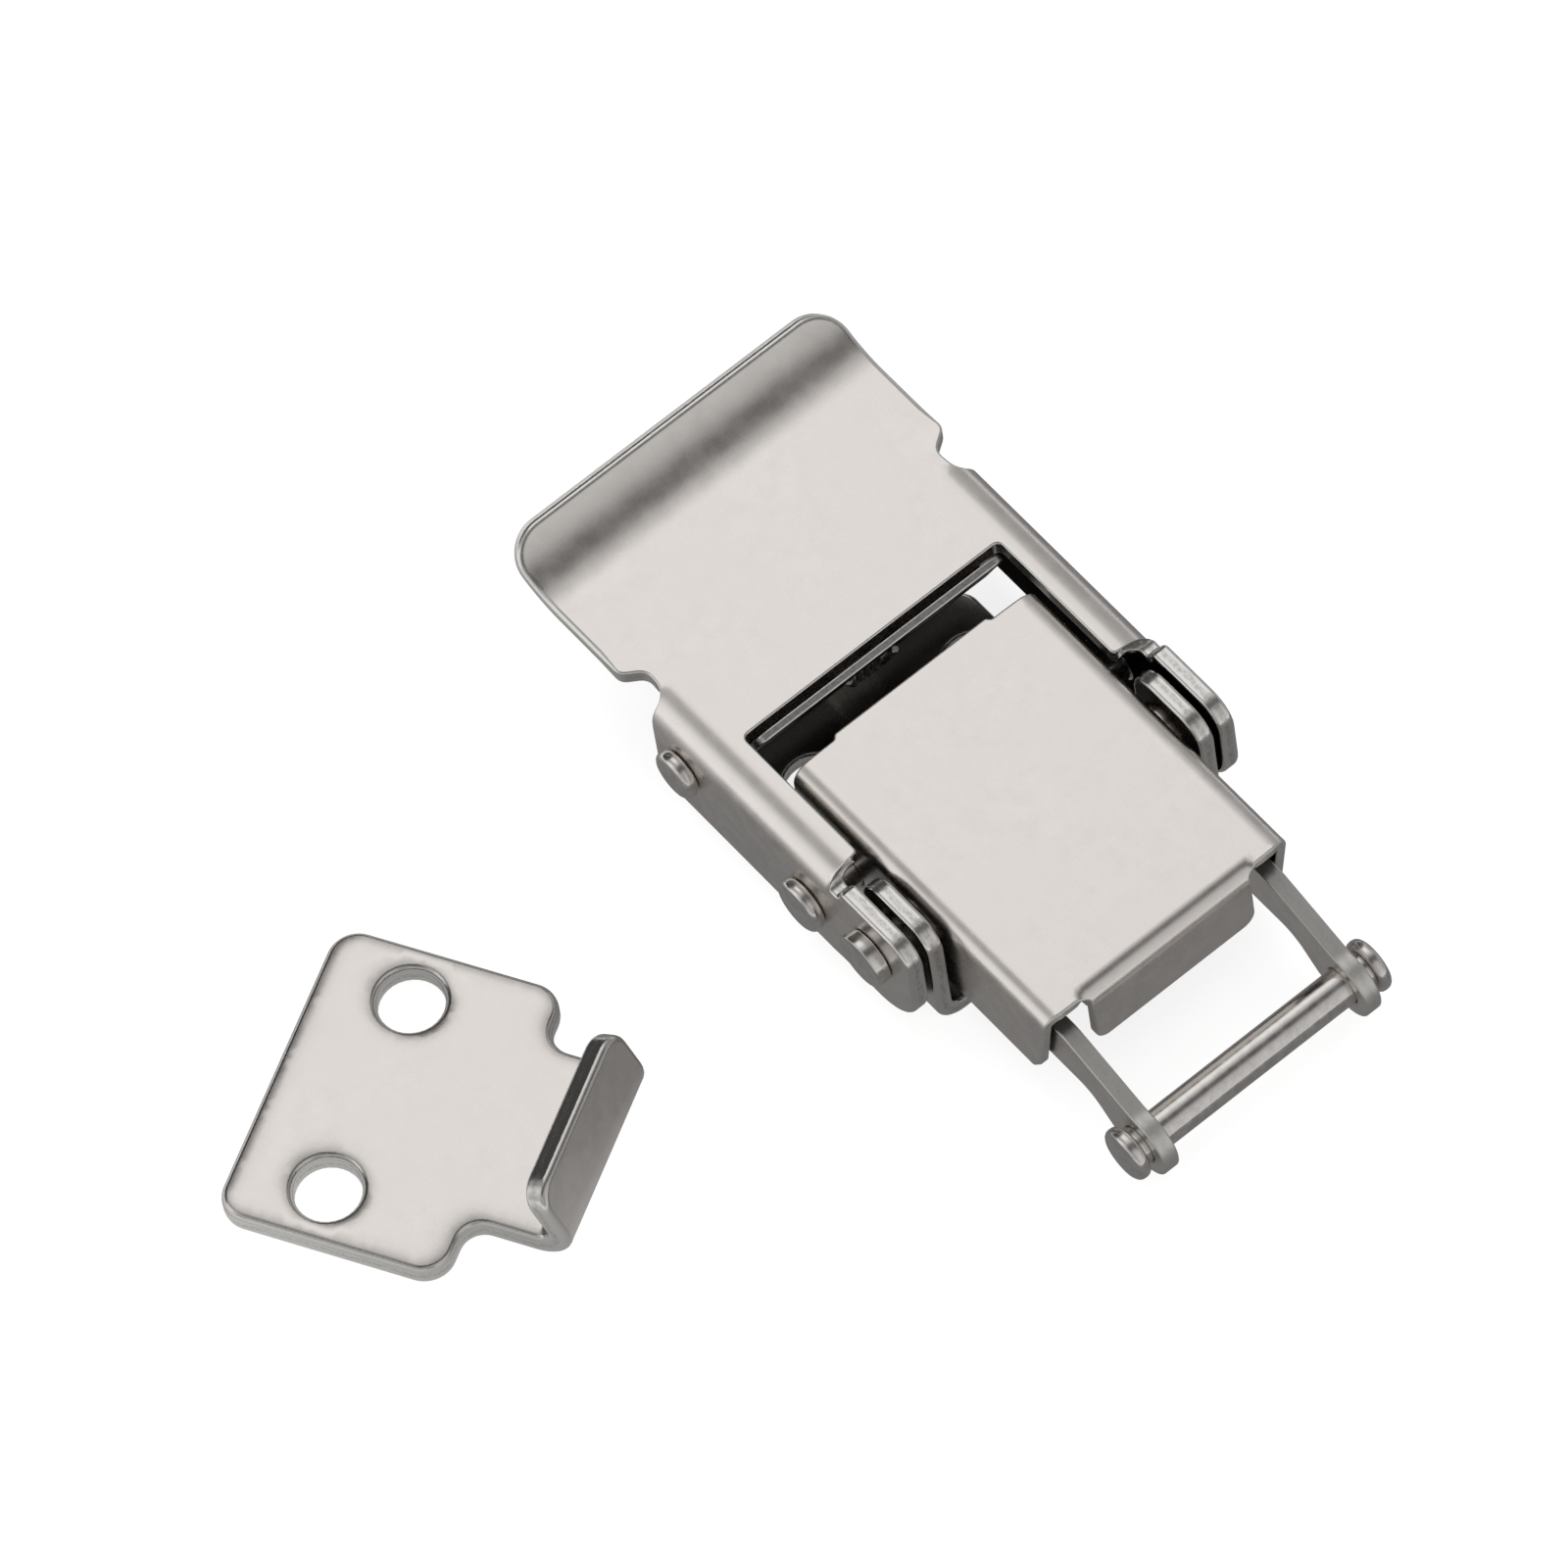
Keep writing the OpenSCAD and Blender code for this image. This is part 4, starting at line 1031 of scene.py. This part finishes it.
def make_tent():
    """Light tent: a half ball of cards round the latch, white where the large soft box hangs behind it,
    black round the camera's side of the zenith, grey elsewhere. x, y and z are the direction's parts, and
    the tone is the smaller of y's tone and the larger of x's tone and z's, which fades towards low x."""
    radius, rows, turns = 700.0, 12, 64
    rise = np.arange(rows) * np.pi / 2 / rows
    rise, t = np.meshgrid(rise, np.linspace(0, 2 * np.pi, turns, endpoint=False), indexing="ij")
    rings = np.stack([np.cos(rise) * np.cos(t), np.cos(rise) * np.sin(t), np.sin(rise)], 2).reshape(-1, 3)
    points = radius * np.concatenate([rings, [[0, 0, 1]]])
    faces = ring_quads(rows, turns), fan((rows - 1) * turns, turns, rows * turns)
    tent = write_mesh("light_tent", points, [f[:, ::-1] for f in faces])
    material, tree, strength, place = card_material("latch_light_tent")
    x, y, z = (ramp(tree, part, -radius * MM, radius * MM, -1.0, 1.0) for part in parts_of(tree, place))
    across = steps_ramp(tree, x, ((-0.72, 0.06), (-0.62, 1.0), (-0.36, 1.0), (-0.2, 0.64), (-0.04, 0.5),
                                  (0.08, 0.18), (0.2, 0.13), (0.38, 0.13), (0.48, 0.32), (0.6, 0.5),
                                  (1.0, 0.66)))
    low = steps_ramp(tree, z, ((0.0, 0.28), (0.25, 0.55), (0.5, 0.5), (0.7, 0.0)))
    low = combine(tree, "MULTIPLY", low, ramp(tree, x, -0.8, -0.5, 0.12, 1.0))
    along = steps_ramp(tree, y, ((-0.8, 0.95), (-0.6, 0.42), (-0.26, 0.4), (-0.12, 1.0), (0.4, 1.0),
                                 (0.5, 0.62), (0.68, 0.42), (1.0, 0.3)))
    tone = combine(tree, "MINIMUM", along, combine(tree, "MAXIMUM", across, low))
    link(tree, tone, strength)
    tent.data.materials.append(material)
    hang(tent)


def make_shadow_card():
    """Grey card under the latch, seen only in metal, that holds a painted shadow: darkest within 50 mm of a
    point beside its front, standing in for the floor's shade round the latch, and paler outwards.
    """
    card = disc("grey_card", 240.0, -0.012)
    material, tree, strength, place = card_material("latch_grey_card")
    gap = tree.nodes.new("ShaderNodeVectorMath")
    gap.operation = "DISTANCE"
    link(tree, place, gap.inputs[0])
    gap.inputs[1].default_value = (0.015, 0.025, 0.0)
    shadow_card_tone = bpy.context.scene.latch_stage.shadow_card_tone
    # painted shadow: the card glows at the card tone within 50 mm of the point and at full strength beyond
    # 100 mm
    link(tree, ramp(tree, gap.outputs["Value"], 0.05, 0.1, shadow_card_tone, 1.0), strength)
    card.data.materials.append(material)
    hang(card)


def make_lights():
    """A large overhead panel behind the latch that lights the floor and throws its soft shadow."""
    settings = bpy.context.scene.latch_stage
    place, aim, size = Vector((-260, 160, 420)) * MM, Vector((0, -15, 0)) * MM, 420 * MM
    data = bpy.data.lights.new("overhead_panel", "AREA")
    data.shape = "SQUARE"
    data.size = size
    data.energy = settings.key_light
    lamp = bpy.data.objects.new("overhead_panel", data)
    lamp.location = place
    lamp.rotation_euler = (aim - place).to_track_quat("-Z", "Y").to_euler()
    lamp.visible_glossy = False
    bpy.context.collection.objects.link(lamp)


def make_camera():
    """Camera of the photograph: a long lens that looks down at 59.5 degrees, from azimuth 59 degrees, rolled
    by about 10 degrees, at 1.08 m. right, down and ahead are the picture's axes in the shared frame."""
    azimuth, elevation, roll = math.radians(59.02), math.radians(59.53), math.radians(10.17)
    side = np.array([math.cos(azimuth), math.sin(azimuth), 0.0])
    ahead = np.array([-math.sin(azimuth) * math.cos(elevation), math.cos(azimuth) * math.cos(elevation),
                      -math.sin(elevation)])
    down = np.cross(ahead, side)
    right = math.cos(roll) * side + math.sin(roll) * down
    down = -math.sin(roll) * side + math.cos(roll) * down
    centre_shift, distance = (5.39, -9.02), 1084.6
    target = np.array([WINDOW_X, 0.0, LEVER_TOP])
    place = target - centre_shift[0] * right - centre_shift[1] * down - distance * ahead
    data = bpy.data.cameras.new("photo_camera")
    data.sensor_width = 36.0
    data.lens = bpy.context.scene.latch_stage.lens
    data.clip_start, data.clip_end = 0.01, 20.0
    camera = bpy.data.objects.new("photo_camera", data)
    turn = Matrix([[*right], [*(-down)], [*(-ahead)]]).transposed().to_4x4()
    camera.matrix_world = Matrix.Translation(Vector(place) * MM) @ turn
    bpy.context.collection.objects.link(camera)
    bpy.context.scene.camera = camera


def make_stage():
    """Floor, world, light tent, grey card, overhead panel and camera."""
    bpy.context.scene.view_settings.view_transform = "Standard"
    for maker in (make_floor, make_world, make_tent, make_shadow_card, make_lights, make_camera):
        maker()


class PieceOperator:
    """Runs one maker function; a failure raises its own error."""

    bl_options = {"REGISTER", "UNDO"}

    def execute(self, context):
        self.maker()
        return {"FINISHED"}


class LATCH_OT_lever(PieceOperator, bpy.types.Operator):
    """Make the lever from its flat pattern"""
    bl_idname = "latch.make_lever"
    bl_label = "Lever"
    maker = staticmethod(make_lever)


class LATCH_OT_base(PieceOperator, bpy.types.Operator):
    """Make the base from its flat pattern"""
    bl_idname = "latch.make_base"
    bl_label = "Base"
    maker = staticmethod(make_base)


class LATCH_OT_case(PieceOperator, bpy.types.Operator):
    """Make the spring case from its flat pattern"""
    bl_idname = "latch.make_case"
    bl_label = "Case"
    maker = staticmethod(make_case)


class LATCH_OT_bracket(PieceOperator, bpy.types.Operator):
    """Make the draw bracket from its flat pattern"""
    bl_idname = "latch.make_bracket"
    bl_label = "Draw bracket"
    maker = staticmethod(make_bracket)


class LATCH_OT_keeper(PieceOperator, bpy.types.Operator):
    """Make the keeper from its flat pattern"""
    bl_idname = "latch.make_keeper"
    bl_label = "Keeper"
    maker = staticmethod(make_keeper)


class LATCH_OT_catch(PieceOperator, bpy.types.Operator):
    """Make the catch plate from its flat pattern"""
    bl_idname = "latch.make_catch"
    bl_label = "Catch plate"
    maker = staticmethod(make_catch)


class LATCH_OT_pins(PieceOperator, bpy.types.Operator):
    """Turn the pins and rivets"""
    bl_idname = "latch.make_pins"
    bl_label = "Pins and rivets"
    maker = staticmethod(make_pins)


class LATCH_OT_springs(PieceOperator, bpy.types.Operator):
    """Wind the springs and turn their guides"""
    bl_idname = "latch.make_springs"
    bl_label = "Springs and guides"
    maker = staticmethod(make_springs)


class LATCH_OT_stage(PieceOperator, bpy.types.Operator):
    """Set up the floor, the light and the camera"""
    bl_idname = "latch.make_stage"
    bl_label = "Stage"
    maker = staticmethod(make_stage)


OPERATORS = (LATCH_OT_lever, LATCH_OT_base, LATCH_OT_case, LATCH_OT_bracket, LATCH_OT_keeper, LATCH_OT_catch,
             LATCH_OT_pins, LATCH_OT_springs, LATCH_OT_stage)


class LATCH_PT_panel(bpy.types.Panel):
    """Lists the latch's pieces and settings"""
    bl_idname = "LATCH_PT_panel"
    bl_label = "Toggle latch"
    bl_space_type = "VIEW_3D"
    bl_region_type = "UI"
    bl_category = "Latch"

    def draw(self, context):
        scene = context.scene
        for group in (scene.latch_sheet, scene.latch_finish, scene.latch_stage):
            box = self.layout.box()
            for key in group.bl_rna.properties.keys():
                if key not in ("rna_type", "name"):
                    box.prop(group, key)
        for operator in OPERATORS:
            self.layout.operator(operator.bl_idname)


CLASSES = (LatchSheetSettings, LatchFinishSettings, LatchStageSettings, *OPERATORS, LATCH_PT_panel)


def register():
    """Registers the classes and gives every scene the three groups of settings."""
    for item in CLASSES:
        bpy.utils.register_class(item)
    bpy.types.Scene.latch_sheet = PointerProperty(type=LatchSheetSettings)
    bpy.types.Scene.latch_finish = PointerProperty(type=LatchFinishSettings)
    bpy.types.Scene.latch_stage = PointerProperty(type=LatchStageSettings)


def unregister():
    """Takes the settings and the classes away again."""
    del bpy.types.Scene.latch_stage, bpy.types.Scene.latch_finish, bpy.types.Scene.latch_sheet
    for item in reversed(CLASSES):
        bpy.utils.unregister_class(item)


def main():
    """Builds every piece and the stage."""
    register()
    for maker in (bpy.ops.latch.make_lever, bpy.ops.latch.make_base, bpy.ops.latch.make_case,
                  bpy.ops.latch.make_bracket, bpy.ops.latch.make_keeper, bpy.ops.latch.make_catch,
                  bpy.ops.latch.make_pins, bpy.ops.latch.make_springs, bpy.ops.latch.make_stage):
        maker()


if __name__ == "__main__":
    main()
